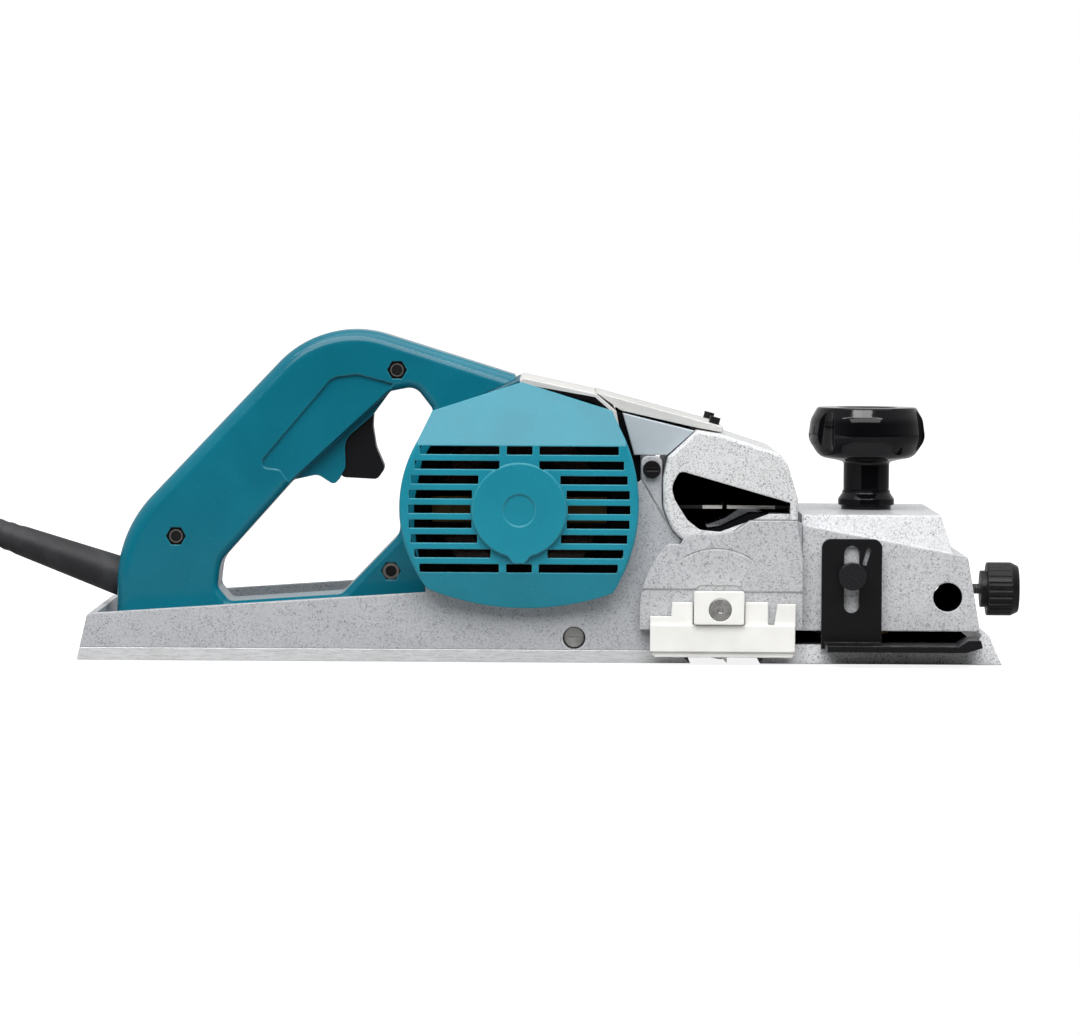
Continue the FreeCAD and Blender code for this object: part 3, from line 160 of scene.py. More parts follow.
def lathe(made, start, axis, profile, around=48, wave=lambda angle, along: 0):
    """A body turned about an axis from a profile of (distance along it, radius)."""
    axis = Vector(axis).normalized()
    side = axis.orthogonal().normalized()
    up = axis.cross(side)
    rings = []
    for along, radius in profile:
        ring = []
        for i in range(around):
            angle = 2 * math.pi * i / around
            reach = radius + wave(angle, along)
            outward = side * math.cos(angle) + up * math.sin(angle)
            ring.append(Vector(start) + axis * along + outward * reach)
        rings.append(ring)
    loft(made, rings)


# ---------------------------------------------------------------- cord guard, tie and plug

GUARD_LENGTH = 0.072
GUARD_ROOT = Vector((-0.2084, 0, 0.0353))
GUARD_DIRECTION = Vector((-math.cos(math.radians(19.3)), 0, math.sin(math.radians(19.3))))


def make_cord_guard():
    """The tapered rubber sleeve: a slow taper, three shallow flex grooves near its tip and a rolled rim."""
    def build(made):
        profile = []
        steps = 72
        for i in range(steps + 1):
            part = i / steps
            radius = 0.00930 - 0.00315 * part
            if 0.70 < part < 0.94:
                radius -= 0.00035 * (0.5 - 0.5 * math.cos(2 * math.pi * (part - 0.70) / 0.08))
            profile.append((part * GUARD_LENGTH, radius))
        profile[-1] = (GUARD_LENGTH - 0.0001, 0.0055)
        profile[-2] = (GUARD_LENGTH - 0.0006, 0.0060)
        lathe(made, GUARD_ROOT - GUARD_DIRECTION * 0.003, GUARD_DIRECTION, [(0, 0.0093)] + [
            (along + 0.003, radius) for along, radius in profile], around=64)
    guard = mesh_piece("cord_sleeve", build, "tool")
    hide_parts("cord_guard")
    return guard


def make_tie():
    """A strap of hook-and-loop tape round the coil's section."""
    centre, across, low, high = 49.5, 14.2, 0.05, 24.6

    def build(made):
        half_width = 0.011
        outline = []
        for i in range(40):
            angle = 2 * math.pi * i / 40
            squareness = 0.62
            along = math.copysign(abs(math.cos(angle)) ** squareness, math.cos(angle))
            up = math.copysign(abs(math.sin(angle)) ** squareness, math.sin(angle))
            outline.append((centre + across * along, (low + high) / 2 + (high - low) / 2 * up))
        inward = [(centre + (r - centre) * 0.93, (low + high) / 2 + (z - (low + high) / 2) * 0.93)
                  for r, z in outline]
        rings = []
        place = math.radians(-60)
        out = Vector((math.cos(place), math.sin(place), 0))
        along = Vector((-math.sin(place), math.cos(place), 0))
        middle = Vector((COIL[0], COIL[1], 0)) * MM
        for shift, line in ((-1, inward), (-1, outline), (1, outline), (1, inward), (-1, inward)):
            rings.append([middle + out * r * MM + Vector((0, 0, z * MM)) + along * half_width * shift
                          for r, z in line])
        loft(made, rings, closed_ends=False)
        bmesh.ops.remove_doubles(made, verts=made.verts, dist=1e-6)
    tie = mesh_piece("coil_tie", build, "tool")
    return tie


PLUG_BASE = Vector((-0.370, 0.0795, 0.03625))


def make_plug():
    """A moulded two-pin plug: a waisted body with finger ribs, and a round pin each side."""
    def body(made):
        profile = [(0, 0.0066, 0.0058), (0.002, 0.0078, 0.0070), (0.008, 0.0092, 0.0088),
                   (0.012, 0.0098, 0.0094),
                   (0.0128, 0.0090, 0.0088), (0.0142, 0.0090, 0.0088), (0.015, 0.0102, 0.0099),
                   (0.0158, 0.0094, 0.0092), (0.0172, 0.0094, 0.0092), (0.018, 0.0108, 0.0104),
                   (0.0188, 0.0100, 0.0097), (0.0202, 0.0100, 0.0097), (0.021, 0.0116, 0.0110),
                   (0.027, 0.0126, 0.0118), (0.0325, 0.0128, 0.0120), (0.034, 0.0120, 0.0112)]
        rings = []
        for along, wide, tall in profile:
            ring = []
            for i in range(48):
                angle = 2 * math.pi * i / 48
                across = math.copysign(abs(math.cos(angle)) ** 0.7, math.cos(angle))
                up = math.copysign(abs(math.sin(angle)) ** 0.7, math.sin(angle))
                ring.append(PLUG_BASE + Vector((along, wide * across, tall * up)))
            rings.append(ring)
        loft(made, rings)
    shell = mesh_piece("plug_body", body, "tool")
    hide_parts("plug")
    pins = []
    for name, side in (("plug_pin_right", -1), ("plug_pin_left", 1)):
        def pin(made, side=side):
            start = PLUG_BASE + Vector((0.0335, 0.00635 * side, 0))
            lathe(made, start, (1, 0, 0), [
                (0, 0.00215), (0.0168, 0.00215), (0.0186, 0.0017), (0.0194, 0.0008)], around=24)
        piece = mesh_piece(name, pin, "tool")
        pins.append(piece)
    return [shell] + pins


# ---------------------------------------------------------------- shader helpers

def make_node(tree, kind, settings=None, **inputs):
    """A shader node; an input is a number, a colour or another node's output."""
    made = tree.nodes.new(kind)
    for name, value in (settings or {}).items():
        setattr(made, name, value)
    for name, value in inputs.items():
        socket = made.inputs[name.replace("_", " ")]
        if isinstance(value, bpy.types.NodeSocket):
            tree.links.new(value, socket)
        else:
            socket.default_value = value
    return made


def maths(tree, operation, *values):
    made = tree.nodes.new("ShaderNodeMath")
    made.operation = operation
    for socket, value in zip(made.inputs, values):
        if isinstance(value, bpy.types.NodeSocket):
            tree.links.new(value, socket)
        else:
            socket.default_value = value
    return made.outputs[0]


def mixed(tree, factor, one, two):
    """A colour between two others; each is an RGB triple or an output."""
    made = tree.nodes.new("ShaderNodeMix")
    made.data_type = "RGBA"
    tree.links.new(factor, made.inputs[0])
    for socket, value in ((made.inputs[6], one), (made.inputs[7], two)):
        if isinstance(value, bpy.types.NodeSocket):
            tree.links.new(value, socket)
        else:
            socket.default_value = (*value, 1)
    return made.outputs[2]


def step(tree, value, low, high):
    """0 below low and 1 above high, or the other way round if low is the larger."""
    made = make_node(tree, "ShaderNodeMapRange", {"clamp": True}, Value=value)
    made.inputs["From Min"].default_value = low
    made.inputs["From Max"].default_value = high
    return made.outputs["Result"]


def place(tree):
    return make_node(tree, "ShaderNodeTexCoord").outputs["Object"]


def axes(tree):
    """The x, y and z of the point in metres, in the object's own frame."""
    return make_node(tree, "ShaderNodeSeparateXYZ", Vector=place(tree)).outputs


def grain(tree, size, detail=2.0, distortion=0.0, along=None):
    """Noise whose features are about size metres, drawn out along an axis if along gives three factors."""
    vector = place(tree)
    if along:
        scaled = make_node(tree, "ShaderNodeVectorMath", {"operation": "MULTIPLY"})
        tree.links.new(vector, scaled.inputs[0])
        scaled.inputs[1].default_value = along
        vector = scaled.outputs[0]
    noise = make_node(tree, "ShaderNodeTexNoise", Vector=vector, Scale=1 / size, Detail=detail,
                      Distortion=distortion)
    return noise.outputs["Fac"]


def edge_mask(tree, radius, low=0.02, high=0.25):
    """1 within about radius of a sharp edge, where paint wears thin and where a painted highlight is laid
    along the edge.
    """
    bevel = make_node(tree, "ShaderNodeBevel", {"samples": 6}, Radius=radius)
    geometry = make_node(tree, "ShaderNodeNewGeometry")
    dot = make_node(tree, "ShaderNodeVectorMath", {"operation": "DOT_PRODUCT"})
    tree.links.new(bevel.outputs["Normal"], dot.inputs[0])
    tree.links.new(geometry.outputs["Normal"], dot.inputs[1])
    return step(tree, dot.outputs["Value"], 1 - low, 1 - high), bevel.outputs["Normal"]


def relief(tree, shader, height, distance, strength=1.0, normal=None):
    """Bump from a height, over a rounded-edge normal if one is given."""
    bump = make_node(tree, "ShaderNodeBump", Height=height, Distance=distance, Strength=strength)
    if normal:
        tree.links.new(normal, bump.inputs["Normal"])
    tree.links.new(bump.outputs["Normal"], shader.inputs["Normal"])


def inside_outline(tree, corners, margin, first_y=None, last_y=None):
    """1 at points more than margin inside a convex outline in x and z, from first_y to last_y; in mm."""
    x, y, z = axes(tree)
    centre = sum((Vector(corner) for corner in corners), Vector((0, 0))) / len(corners)
    least = None
    for one, two in zip(corners, corners[1:] + corners[:1]):
        run = (Vector(two) - Vector(one)).normalized()
        inward = Vector((-run.y, run.x))
        if inward.dot(centre - Vector(one)) < 0:
            inward = -inward
        offset = -inward.dot(Vector(one)) * MM
        depth = maths(tree, "MULTIPLY_ADD", z, inward.y, offset)
        depth = maths(tree, "MULTIPLY_ADD", x, inward.x, depth)
        least = depth if least is None else maths(tree, "MINIMUM", least, depth)
    mask = maths(tree, "GREATER_THAN", least, margin * MM)
    if first_y is not None:
        mask = maths(tree, "MULTIPLY", mask, maths(tree, "GREATER_THAN", y, first_y * MM))
    if last_y is not None:
        mask = maths(tree, "MULTIPLY", mask, maths(tree, "LESS_THAN", y, last_y * MM))
    return mask


def near_axis(tree, centre_x, centre_z, radius, softness=0.0001):
    """1 within a radius of an axis along Y; in metres."""
    x, _, z = axes(tree)
    dx = maths(tree, "SUBTRACT", x, centre_x)
    dz = maths(tree, "SUBTRACT", z, centre_z)
    square = maths(tree, "MULTIPLY_ADD", dx, dx, maths(tree, "MULTIPLY", dz, dz))
    return step(tree, maths(tree, "SQRT", square), radius + softness, radius - softness)


def dull(tree, shader, mask):
    """Takes the shine away where a mask is 1."""
    kept = maths(tree, "SUBTRACT", 1.0, mask)
    for name in ("Specular IOR Level", "Coat Weight", "Metallic"):
        level = shader.inputs[name].default_value
        if level:
            tree.links.new(maths(tree, "MULTIPLY", kept, level), shader.inputs[name])


def surface(name, roughness, metallic=0.0, coat=0.0, specular=0.5):
    material = bpy.data.materials.new(name)
    material.use_nodes = True
    tree = material.node_tree
    shader = tree.nodes["Principled BSDF"]
    shader.inputs["Roughness"].default_value = roughness
    shader.inputs["Metallic"].default_value = metallic
    shader.inputs["Coat Weight"].default_value = coat
    shader.inputs["Coat Roughness"].default_value = 0.08
    shader.inputs["Specular IOR Level"].default_value = specular
    return material, tree, shader


def paint(material, *pieces):
    """Gives pieces, or CAD nodes by name, a material in every slot."""
    for piece in pieces:
        piece = nodes[piece] if isinstance(piece, str) else piece
        if not piece.material_slots:
            piece.data.materials.append(material)
        for slot in piece.material_slots:
            slot.link = "OBJECT"
            slot.material = material


# ---------------------------------------------------------------- materials

COVER_OUTLINE = [
    (-57.1, 117.3), (-15.7, 130.7), (26.2, 117.8), (32.6, 104.4), (37.6, 88), (39, 74), (37.4, 60), (33, 45),
    (27, 33), (6, 27.7), (-15.7, 25.8), (-38, 28.3), (-59, 34.8), (-68.4, 52), (-72.2, 73), (-70, 90),
    (-63.6, 103.9),
]
COVER_CAVITY = [
    (-61.8, 42.4), (-66.8, 57), (-68.6, 72), (-66.8, 87), (-61.8, 102.6), (29, 102.6), (33.8, 87), (35.8, 72),
    (33.8, 57), (28.4, 42.4),
]
DUCT_SIDE = [(31.6, 116.4), (65, 108.32), (52.4, 97), (37, 97)]
HOUSING_OUTLINE = [
    (-60, 28), (-65.5, 62), (-65.8, 74), (-62, 94), (-55, 106), (-49.5, 117), (-16.8, 131.6), (19.2, 125.3),
    (28.5, 117.3), (34, 92), (34, 40), (30, 24), (-54, 24),
]
HOOD_OUTLINE = [
    (65.9, 108.8), (104.5, 98.2), (113.2, 77), (113.2, 67.2), (77, 59.8), (63, 54.6), (54.6, 60), (50.2, 72),
    (50.2, 86),
]
# Painted shade: the black put in hollows and gaps that lie in shadow.
SHADE_BLACK = (0.006, 0.006, 0.007)


def hammer_paint(name, dark=None, light=(0.50, 0.51, 0.53)):
    """Silver hammer-tone paint: a light ground, dense dark worm-like flecks and a dimpled surface."""
    material, tree, shader = surface(name, 0.34, 0.0, 0.25)
    fine = step(tree, grain(tree, 0.00072, 2.0, 0.9), 0.50, 0.36)
    patches = step(tree, grain(tree, 0.0045, 3.0), 0.34, 0.60)
    flecks = maths(tree, "MULTIPLY", fine, maths(tree, "MULTIPLY_ADD", patches, 0.55, 0.45))
    cloud = step(tree, grain(tree, 0.018, 2.0), 0.3, 0.7)
    edges, normal = edge_mask(tree, 0.0011)
    ground = mixed(tree, cloud, tuple(c * 0.93 for c in light), light)
    strength = maths(tree, "MULTIPLY", flecks, 0.85)
    colour = mixed(tree, strength, ground, (0.17, 0.175, 0.195))
    # Lighter along sharp edges: partly worn paint and partly a painted highlight.
    colour = mixed(tree, maths(tree, "MULTIPLY", edges, 0.45), colour, (0.80, 0.80, 0.81))
    # Painted shade: black where the mask marks a hollow or gap that lies in shadow.
    if dark:
        mask = dark(tree)
        colour = mixed(tree, mask, colour, SHADE_BLACK)
        dull(tree, shader, mask)
    tree.links.new(colour, shader.inputs["Base Color"])
    tree.links.new(maths(tree, "MULTIPLY_ADD", flecks, 0.22, 0.32), shader.inputs["Roughness"])
    relief(tree, shader, flecks, 0.00012, -0.6, normal)
    return material


def cast_metal(name, colour, dark=None, metallic=0.3, tint=None):
    """Plain cast and lightly blasted aluminium."""
    material, tree, shader = surface(name, 0.42, metallic)
    fine = grain(tree, 0.0009, 3.0)
    cloud = grain(tree, 0.02, 3.0)
    edges, normal = edge_mask(tree, 0.0009)
    tone = mixed(tree, step(tree, cloud, 0.35, 0.65), tuple(c * 0.92 for c in colour), colour)
    # Lighter along sharp edges: partly worn metal and partly a painted highlight.
    tone = mixed(tree, maths(tree, "MULTIPLY", edges, 0.4), tone, (0.86, 0.86, 0.85))
    if tint:
        tone = mixed(tree, tint(tree), tone, (0.004, 0.11, 0.16))
    # Painted shade: black where the mask marks a hollow or gap that lies in shadow.
    if dark:
        mask = dark(tree)
        tone = mixed(tree, mask, tone, SHADE_BLACK)
        dull(tree, shader, mask)
    tree.links.new(tone, shader.inputs["Base Color"])
    tree.links.new(maths(tree, "MULTIPLY_ADD", fine, 0.25, 0.3), shader.inputs["Roughness"])
    relief(tree, shader, fine, 0.00006, 0.5, normal)
    return material


def machined(name, along, colour=(0.70, 0.71, 0.72), metallic=1.0):
    """Bright milled metal with fine lines drawn out along one axis."""
    material, tree, shader = surface(name, 0.28, metallic)
    lines = grain(tree, 0.0006, 2.0, 0.0, along)
    cloud = grain(tree, 0.03, 2.0)
    _, normal = edge_mask(tree, 0.0005)
    tone = mixed(tree, step(tree, lines, 0.3, 0.7), tuple(c * 0.82 for c in colour), colour)
    tone = mixed(tree, maths(tree, "MULTIPLY", step(tree, cloud, 0.5, 0.75), 0.25), tone, (0.5, 0.49, 0.47))
    tree.links.new(tone, shader.inputs["Base Color"])
    tree.links.new(maths(tree, "MULTIPLY_ADD", lines, 0.3, 0.15), shader.inputs["Roughness"])
    relief(tree, shader, lines, 0.00003, 0.6, normal)
    return material


def moulded(name, colour, roughness=0.26, coat=0.35, edge=None, dark=None, sheen=0.3):
    """Glossy moulded plastic: slight flow marks, a very fine orange peel, and a painted highlight along its
    edges.
    """
    material, tree, shader = surface(name, roughness, 0.0, coat, sheen)
    peel = grain(tree, 0.0016, 2.0)
    flow = grain(tree, 0.035, 3.0, 0.6)
    scuffs = step(tree, grain(tree, 0.0035, 4.0, 1.5, (1.0, 0.4, 2.4)), 0.60, 0.72)
    edges, normal = edge_mask(tree, 0.0010)
    darker = tuple(c * 0.90 for c in colour)
    lighter = tuple(c * 1.06 for c in colour)
    tone = mixed(tree, step(tree, flow, 0.3, 0.7), darker, lighter)
    # Painted highlight: a lighter tone along sharp edges.
    if edge:
        tone = mixed(tree, maths(tree, "MULTIPLY", edges, 0.55), tone, edge)
    # Painted shade: black where the mask marks a hollow that lies in shadow.
    if dark:
        mask = dark(tree)
        tone = mixed(tree, mask, tone, SHADE_BLACK)
        dull(tree, shader, mask)
    tree.links.new(tone, shader.inputs["Base Color"])
    rough = maths(tree, "MULTIPLY_ADD", scuffs, 0.10, roughness)
    tree.links.new(maths(tree, "MULTIPLY_ADD", flow, 0.06, rough), shader.inputs["Roughness"])
    relief(tree, shader, peel, 0.00004, 0.35, normal)
    return material


def black_satin(name, colour=(0.014, 0.014, 0.016), roughness=0.42, metallic=0.0):
    """Black paint or blackened steel, with small lighter rubs at its edges."""
    material, tree, shader = surface(name, roughness, metallic, 0.0, 0.25)
    fine = grain(tree, 0.0007, 3.0)
    rub = step(tree, grain(tree, 0.006, 4.0), 0.52, 0.66)
    edges, normal = edge_mask(tree, 0.0006)
    worn = maths(tree, "MULTIPLY", edges, maths(tree, "MULTIPLY_ADD", rub, 0.5, 0.12))
    tone = mixed(tree, fine, tuple(c * 0.8 for c in colour), tuple(c * 1.3 for c in colour))
    tone = mixed(tree, worn, tone, (0.20, 0.20, 0.205))
    tree.links.new(tone, shader.inputs["Base Color"])
    tree.links.new(maths(tree, "MULTIPLY_ADD", fine, 0.22, roughness - 0.11), shader.inputs["Roughness"])
    relief(tree, shader, fine, 0.00005, 0.5, normal)
    return material


def gloss_black():
    """Polished phenolic plastic."""
    material, tree, shader = surface("knob_black", 0.05, 0.0, 0.25, 0.12)
    shader.inputs["Coat Roughness"].default_value = 0.03
    cloud = grain(tree, 0.02, 2.0)
    dust = step(tree, grain(tree, 0.0014, 4.0), 0.70, 0.80)
    _, normal = edge_mask(tree, 0.0008)
    tone = mixed(tree, cloud, (0.002, 0.002, 0.003), (0.004, 0.004, 0.005))
    tone = mixed(tree, maths(tree, "MULTIPLY", dust, 0.10), tone, (0.12, 0.12, 0.12))
    tree.links.new(tone, shader.inputs["Base Color"])
    tree.links.new(maths(tree, "MULTIPLY_ADD", cloud, 0.05, 0.04), shader.inputs["Roughness"])
    relief(tree, shader, cloud, 0.0003, 0.15, normal)
    return material


def rubber(name, colour=(0.022, 0.022, 0.024)):
    """Matt rubber sheathing, faintly greyed."""
    material, tree, shader = surface(name, 0.55, 0.0, 0.0, 0.35)
    fine = grain(tree, 0.0012, 4.0)
    bloom = step(tree, grain(tree, 0.015, 4.0, 0.8), 0.42, 0.72)
    tone = mixed(tree, bloom, colour, tuple(c * 1.9 for c in colour))
    tree.links.new(tone, shader.inputs["Base Color"])
    tree.links.new(maths(tree, "MULTIPLY_ADD", fine, 0.2, 0.42), shader.inputs["Roughness"])
    relief(tree, shader, fine, 0.00008, 0.5)
    return material


def plain_steel(name, colour=(0.55, 0.55, 0.55), roughness=0.3):
    """Zinc-plated or ground steel."""
    material, tree, shader = surface(name, roughness, 1.0)
    fine = grain(tree, 0.0008, 3.0)
    stain = step(tree, grain(tree, 0.005, 4.0), 0.48, 0.7)
    _, normal = edge_mask(tree, 0.0003)
    tone = mixed(tree, stain, colour, tuple(c * 0.72 for c in colour))
    tree.links.new(tone, shader.inputs["Base Color"])
    tree.links.new(maths(tree, "MULTIPLY_ADD", fine, 0.25, roughness - 0.12), shader.inputs["Roughness"])
    relief(tree, shader, fine, 0.00003, 0.4, normal)
    return material


HANDLE_NUTS = [(-75.2, 135), (-180, 55.4), (-77.6, 39.3)]
# The nut whose bright ring round its mouth is wider.
LAST_NUT = -77.6


def nut_steel():
    """Blackened nuts with a bright ring round each threaded mouth."""
    material, tree, shader = surface("nut_steel", 0.32, 0.9)
    ring = None
    for x, z in HANDLE_NUTS:
        outer = near_axis(tree, x * MM, z * MM, 0.0031 if x != LAST_NUT else 0.0039)
        inner = near_axis(tree, x * MM, z * MM, 0.0026)
        one = maths(tree, "SUBTRACT", outer, inner)
        ring = one if ring is None else maths(tree, "MAXIMUM", ring, one)
    fine = grain(tree, 0.0006, 3.0)
    dull = mixed(tree, fine, (0.006, 0.006, 0.006), (0.02, 0.018, 0.018))
    bright = mixed(tree, fine, (0.16, 0.15, 0.145), (0.42, 0.40, 0.38))
    tree.links.new(mixed(tree, ring, dull, bright), shader.inputs["Base Color"])
    relief(tree, shader, fine, 0.00005, 0.6)
    return material


def deflector_steel():
    """Blackened sheet with a painted highlight: its near edge is coloured near white either side of its slit.
    """
    material, tree, shader = surface("deflector_steel", 0.35, 0.3)
    x, y, _ = axes(tree)
    # Painted highlight on the near edge, either side of the slit.
    near = maths(tree, "LESS_THAN", y, -0.0575)
    highlight_band = maths(tree, "MULTIPLY", near, maths(tree, "GREATER_THAN", x, 0.0692))
    highlight_band = maths(tree, "MULTIPLY", highlight_band, maths(tree, "LESS_THAN", x, 0.1032))
    fine = grain(tree, 0.0008, 3.0)
    dull = mixed(tree, fine, (0.008, 0.008, 0.009), (0.02, 0.02, 0.02))
    bright = mixed(tree, fine, (0.85, 0.84, 0.80), (1.0, 0.98, 0.93))
    tree.links.new(mixed(tree, highlight_band, dull, bright), shader.inputs["Base Color"])
    relief(tree, shader, fine, 0.00004, 0.5)
    return material


def threaded(name, axis, pitch, colour=(0.30, 0.29, 0.28)):
    """Steel with a screw thread's fine rings along one axis (0 for x, 1 for y, 2 for z)."""
    material, tree, shader = surface(name, 0.3, 1.0)
    along = axes(tree)[axis]
    rings = maths(tree, "SINE", maths(tree, "MULTIPLY", along, 2 * math.pi / pitch))
    fine = grain(tree, 0.0008, 2.0)
    # Painted shade: the thread's grooves are coloured darker than its crests.
    tone = mixed(tree, step(tree, rings, -0.8, 0.6), tuple(c * 0.35 for c in colour), colour)
    tree.links.new(tone, shader.inputs["Base Color"])
    tree.links.new(maths(tree, "MULTIPLY_ADD", fine, 0.25, 0.2), shader.inputs["Roughness"])
    relief(tree, shader, rings, 0.0002, 0.8)
    return material


def laminated():
    """Stacked varnished sheet steel: fine rings along Y."""
    material, tree, shader = surface("laminated", 0.5, 0.6)
    y = axes(tree)[1]
    sheets = maths(tree, "SINE", maths(tree, "MULTIPLY", y, 2 * math.pi / 0.001))
    fine = grain(tree, 0.002, 3.0)
    tone = mixed(tree, sheets, (0.02, 0.02, 0.022), (0.07, 0.065, 0.06))
    tone = mixed(tree, step(tree, fine, 0.5, 0.8), tone, (0.09, 0.05, 0.03))
    tree.links.new(tone, shader.inputs["Base Color"])
    relief(tree, shader, sheets, 0.0001, 0.5)
    return material


def wound_copper():
    """Varnished winding wire, dark and packed."""
    material, tree, shader = surface("wound_copper", 0.35, 0.5, 0.4)
    wires = grain(tree, 0.0011, 1.0, 0.4, (1.0, 0.2, 1.0))
    tone = mixed(tree, step(tree, wires, 0.35, 0.65), (0.012, 0.005, 0.003), (0.05, 0.018, 0.008))
    tree.links.new(tone, shader.inputs["Base Color"])
    relief(tree, shader, wires, 0.0004, 0.8)
    return material


def ribbed_belt():
    """Belt rubber with cords showing faintly along its edge."""
    material, tree, shader = surface("ribbed_belt", 0.6)
    y = axes(tree)[1]
    ribs = maths(tree, "SINE", maths(tree, "MULTIPLY", y, 2 * math.pi / 0.0026))
    fine = grain(tree, 0.0015, 3.0)
    tone = mixed(tree, fine, (0.012, 0.012, 0.012), (0.035, 0.034, 0.033))
    tree.links.new(tone, shader.inputs["Base Color"])
    relief(tree, shader, ribs, 0.0004, 0.6)
    return material


def behind_cover(tree):
    """Where the frame's near cheek lies behind the vented cover, and inside the motor's hole; painted black
    there as shade.
    """
    return inside_outline(tree, COVER_OUTLINE, 1.2, None, -60)


def inside_housing(tree):
    """The housing's hollow, and the rim that lies behind the vented cover; painted black there as shade."""
    hollow = inside_outline(tree, HOUSING_OUTLINE, 1.6, None, 55)
    return maths(tree, "MAXIMUM", hollow, inside_outline(tree, COVER_OUTLINE, 0.4, None, -60))


def beside_handle(tree):
    """The motor housing's rear flank, which has the handle's colour."""
    return maths(tree, "LESS_THAN", axes(tree)[0], -0.0166)


def in_rule_bore(tree):
    """The bore for the edge fence's rod, beyond its mouth; painted black there as shade."""
    _, y, _ = axes(tree)
    beyond = maths(tree, "LESS_THAN", maths(tree, "ABSOLUTE", y), 0.0668)
    return maths(tree, "MULTIPLY", near_axis(tree, 0.1837, 0.0314, 0.0072), beyond)


def above_shoe(tree):
    """The top of the front base, painted black as shade."""
    x, _, z = axes(tree)
    return maths(tree, "MULTIPLY", step(tree, z, 0.0088, 0.0094), maths(tree, "LESS_THAN", x, 0.1965))


def put_on_materials(cord, guard, tie, plug):
    # The castings share one hammer-tone paint; each part's ground is set lighter or darker to stand for how
    # the light falls on it, which is painted light and shade. The black masks are painted shade.
    paint(hammer_paint("frame_paint", behind_cover), "frame_casting")
    paint(hammer_paint("casting_paint", None, (0.56, 0.57, 0.585)), "drum_side_plate")
    paint(hammer_paint("front_paint", in_rule_bore, (0.64, 0.65, 0.665)), "front_housing")
    paint(hammer_paint("base_paint", above_shoe, (0.82, 0.83, 0.845)), "front_base")
    # Painted shade: black inside the chip hood.
    paint(hammer_paint("hood_paint", lambda tree: inside_outline(tree, HOOD_OUTLINE, 1.6, -72.8, 56),
                       (0.76, 0.765, 0.77)), "chip_hood")
    # Painted shade: black in the housing's hollow and behind the vented cover.
    paint(cast_metal("housing_metal", (0.74, 0.73, 0.71),
                     inside_housing, 0.3, beside_handle), "motor_housing")
    paint(machined("sole_metal", (0.08, 1.0, 1.0), (0.80, 0.81, 0.82), 0.35), "rear_sole")
    # The handle's teal is darker than the end cover's, though it is the same plastic: painted shade. The
    # lighter edge tones on these covers are painted highlights.
    paint(moulded("handle_teal", (0.003, 0.148, 0.212), 0.17, 0.10, (0.06, 0.42, 0.52)),
          "handle_right", "handle_left")
    # Painted shade: black inside the end cover's vents.
    paint(moulded("cover_teal", (0.012, 0.245, 0.335), 0.20, 0.12, (0.10, 0.50, 0.60),
                  lambda tree: inside_outline(tree, COVER_CAVITY, -0.2, -82.6)), "motor_end_cover")
    paint(moulded("belt_cover_teal", (0.010, 0.22, 0.29), 0.28, 0.30, (0.08, 0.42, 0.50)), "belt_cover")
    # Painted shade: black everywhere on the duct but its near side face, standing for the dark gap round it.
    paint(cast_metal("duct_grey", (0.50, 0.56, 0.60),
                     lambda tree: maths(tree, "SUBTRACT", 1.0, inside_outline(tree, DUCT_SIDE, -0.15))),
          "fan_duct")
    paint(cast_metal("top_sheet_metal", (0.66, 0.655, 0.635)), "top_plate")
    paint(cast_metal("guard_metal", (0.93, 0.925, 0.89), None, 0.05), "blade_guard", "guard_block")
    paint(gloss_black(), "front_knob", "knob_ring")
    paint(black_satin("grip_black", (0.005, 0.005, 0.006), 0.32), "clamp_knob", "trigger", "lock_button",
          "switch_body", "fan")
    paint(black_satin("blackened_steel", (0.006, 0.006, 0.007), 0.3, 0.1), "depth_gauge", "hood_screws")
    paint(black_satin("screw_black", (0.010, 0.010, 0.011), 0.16, 0.2), "duct_screw")
    paint(black_satin("thumb_screw_black", (0.020, 0.020, 0.022), 0.28, 0.4), "gauge_screw")
    paint(deflector_steel(), "chip_deflector")
    paint(nut_steel(), "handle_nuts")
    paint(plain_steel("side_screw_steel", (0.55, 0.54, 0.52), 0.4), "side_screw")
    paint(black_satin("screw_steel", (0.012, 0.011, 0.011), 0.4, 0.4), "handle_screws")
    paint(plain_steel("plated_steel", (0.60, 0.59, 0.57), 0.28), "sole_screws", "trigger_pin", "guard_screw",
          "belt_cover_screws", "blade_bolts", "guide_posts", "depth_screw", "depth_spring")
    paint(plain_steel("ground_steel", (0.62, 0.62, 0.62), 0.2),
          "motor_shaft", "motor_bearings", "drum_bearings",
          "planer_blades", "motor_pulley", "drum_pulley")
    paint(machined("drum_steel", (1.0, 0.1, 1.0), (0.50, 0.50, 0.50)), "cutter_drum", "blade_bars")
    paint(threaded("clamp_thread", 0, 0.0008), "clamp_screw")
    paint(laminated(), "stator", "armature_core")
    paint(wound_copper(), "armature_windings", "field_coils")
    paint(plain_steel("copper_bars", (0.42, 0.19, 0.09), 0.3), "commutator")
    paint(plain_steel("brass", (0.50, 0.36, 0.14), 0.3), "depth_nut")
    paint(plain_steel("holder_brass", (0.09, 0.065, 0.03), 0.4), "brush_holders")
    paint(black_satin("carbon", (0.02, 0.02, 0.02), 0.6), "carbon_brushes")
    paint(ribbed_belt(), "drive_belt")
    cable = rubber("cable_rubber")
    paint(cable, cord)
    paint(rubber("sleeve_rubber", (0.017, 0.017, 0.019)), guard)
    paint(rubber("tie_fabric", (0.03, 0.03, 0.033)), tie)
    paint(rubber("plug_rubber", (0.018, 0.018, 0.02)), plug[0])
    paint(plain_steel("pin_brass", (0.62, 0.48, 0.22), 0.22), *plug[1:])


# ---------------------------------------------------------------- stage

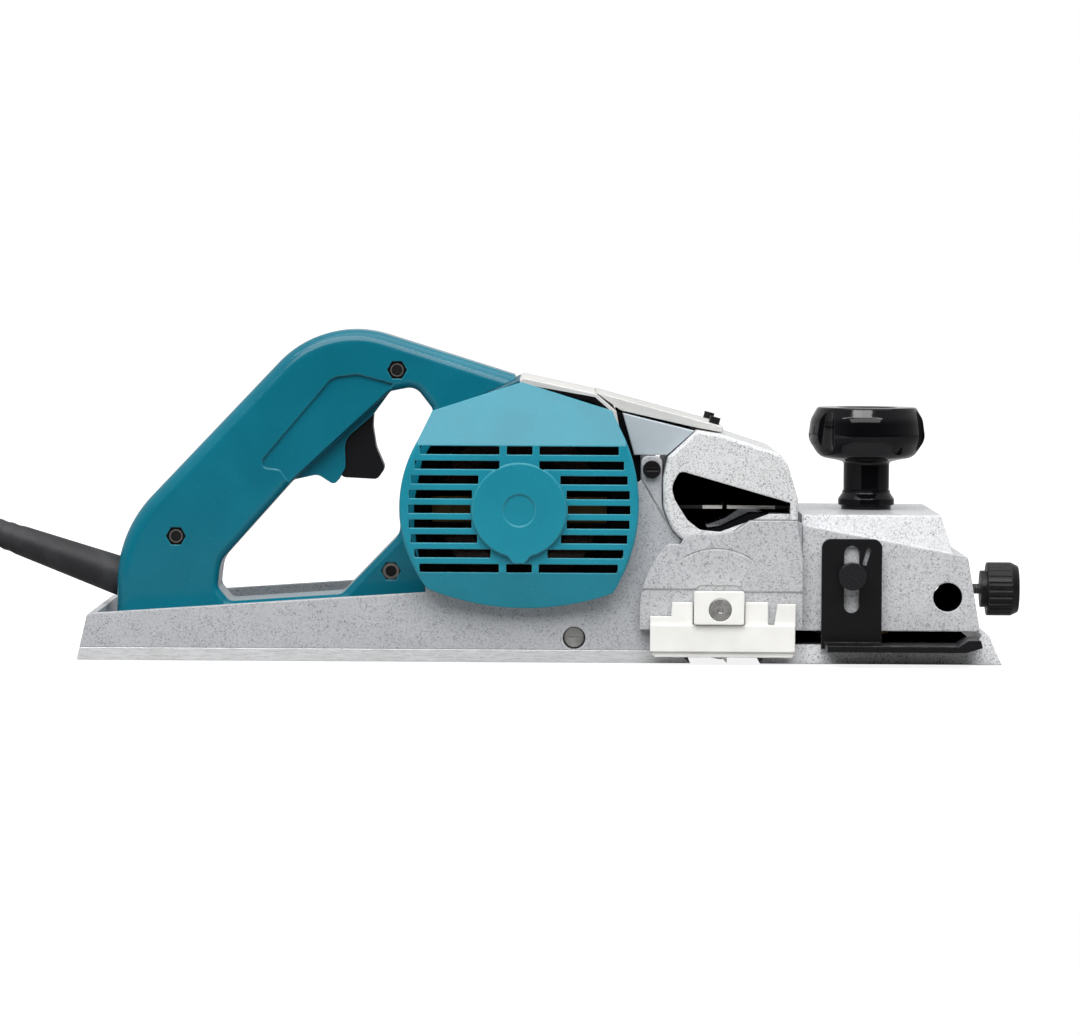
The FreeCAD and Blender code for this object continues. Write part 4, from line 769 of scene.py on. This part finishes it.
def make_stage():
    mesh = bpy.data.meshes.new("floor")
    made = bmesh.new()
    corners = [made.verts.new(at) for at in ((-9, -1, 0), (9, -1, 0), (9, 17, 0), (-9, 17, 0))]
    made.faces.new(corners)
    made.to_mesh(mesh)
    made.free()
    floor = link("floor", mesh)
    floor.location.z = -0.0005
    material = bpy.data.materials.new("floor")
    material.use_nodes = True
    shader = material.node_tree.nodes["Principled BSDF"]
    shader.inputs["Base Color"].default_value = (0.36, 0.36, 0.36, 1)
    shader.inputs["Roughness"].default_value = 1.0
    shader.inputs["Specular IOR Level"].default_value = 0.0
    shader.inputs["Emission Color"].default_value = (1, 1, 1, 1)
    rays = material.node_tree.nodes.new("ShaderNodeLightPath")
    glow = maths(material.node_tree, "MULTIPLY", rays.outputs["Is Camera Ray"], 0.88)
    material.node_tree.links.new(glow, shader.inputs["Emission Strength"])
    mesh.materials.append(material)


def make_world():
    """A white room: bright behind the object, and softer in the light that it gives."""
    world = bpy.data.worlds.new("studio")
    world.use_nodes = True
    tree = world.node_tree
    background = tree.nodes["Background"]
    rays = tree.nodes.new("ShaderNodeLightPath")
    direction = make_node(tree, "ShaderNodeTexCoord").outputs["Generated"]
    _, y, z = make_node(tree, "ShaderNodeSeparateXYZ", Vector=direction).outputs
    toward = maths(tree, "MULTIPLY_ADD", y, 0.8, maths(tree, "MULTIPLY", z, 0.9))
    room = maths(tree, "MULTIPLY_ADD", step(tree, toward, -0.5, 0.6), ROOM_LIGHT, 0.03)
    strength = maths(tree, "MAXIMUM", rays.outputs["Is Camera Ray"], room)
    tree.links.new(strength, background.inputs["Strength"])
    background.inputs["Color"].default_value = (1, 1, 1, 1)
    bpy.context.scene.world = world
    bpy.context.scene.view_settings.view_transform = "Standard"


ROOM_LIGHT = 0.62


def softbox(name, location, aim, width, height, power):
    data = bpy.data.lights.new(name, "AREA")
    data.shape = "RECTANGLE"
    data.size = width
    data.size_y = height
    data.energy = power
    lamp = link(name, data)
    lamp.location = location
    lamp.rotation_euler = (Vector(aim) - Vector(location)).to_track_quat("-Z", "Y").to_euler()


cord = make_cord()
guard = make_cord_guard()
plug = make_plug()
tie = make_tie()
put_on_materials(cord, guard, tie, plug)
make_stage()
make_world()
softbox("top_light", (0.1, -0.2, 1.8), (0, 0, 0.05), 2.2, 1.2, 14)
softbox("strip_light", (-0.2, -1.0, 1.7), (0, 0, 0.08), 2.6, 0.12, 13)
softbox("front_light", (-0.1, -1.9, 1.6), (0, 0, 0.06), 2.6, 1.2, 45)
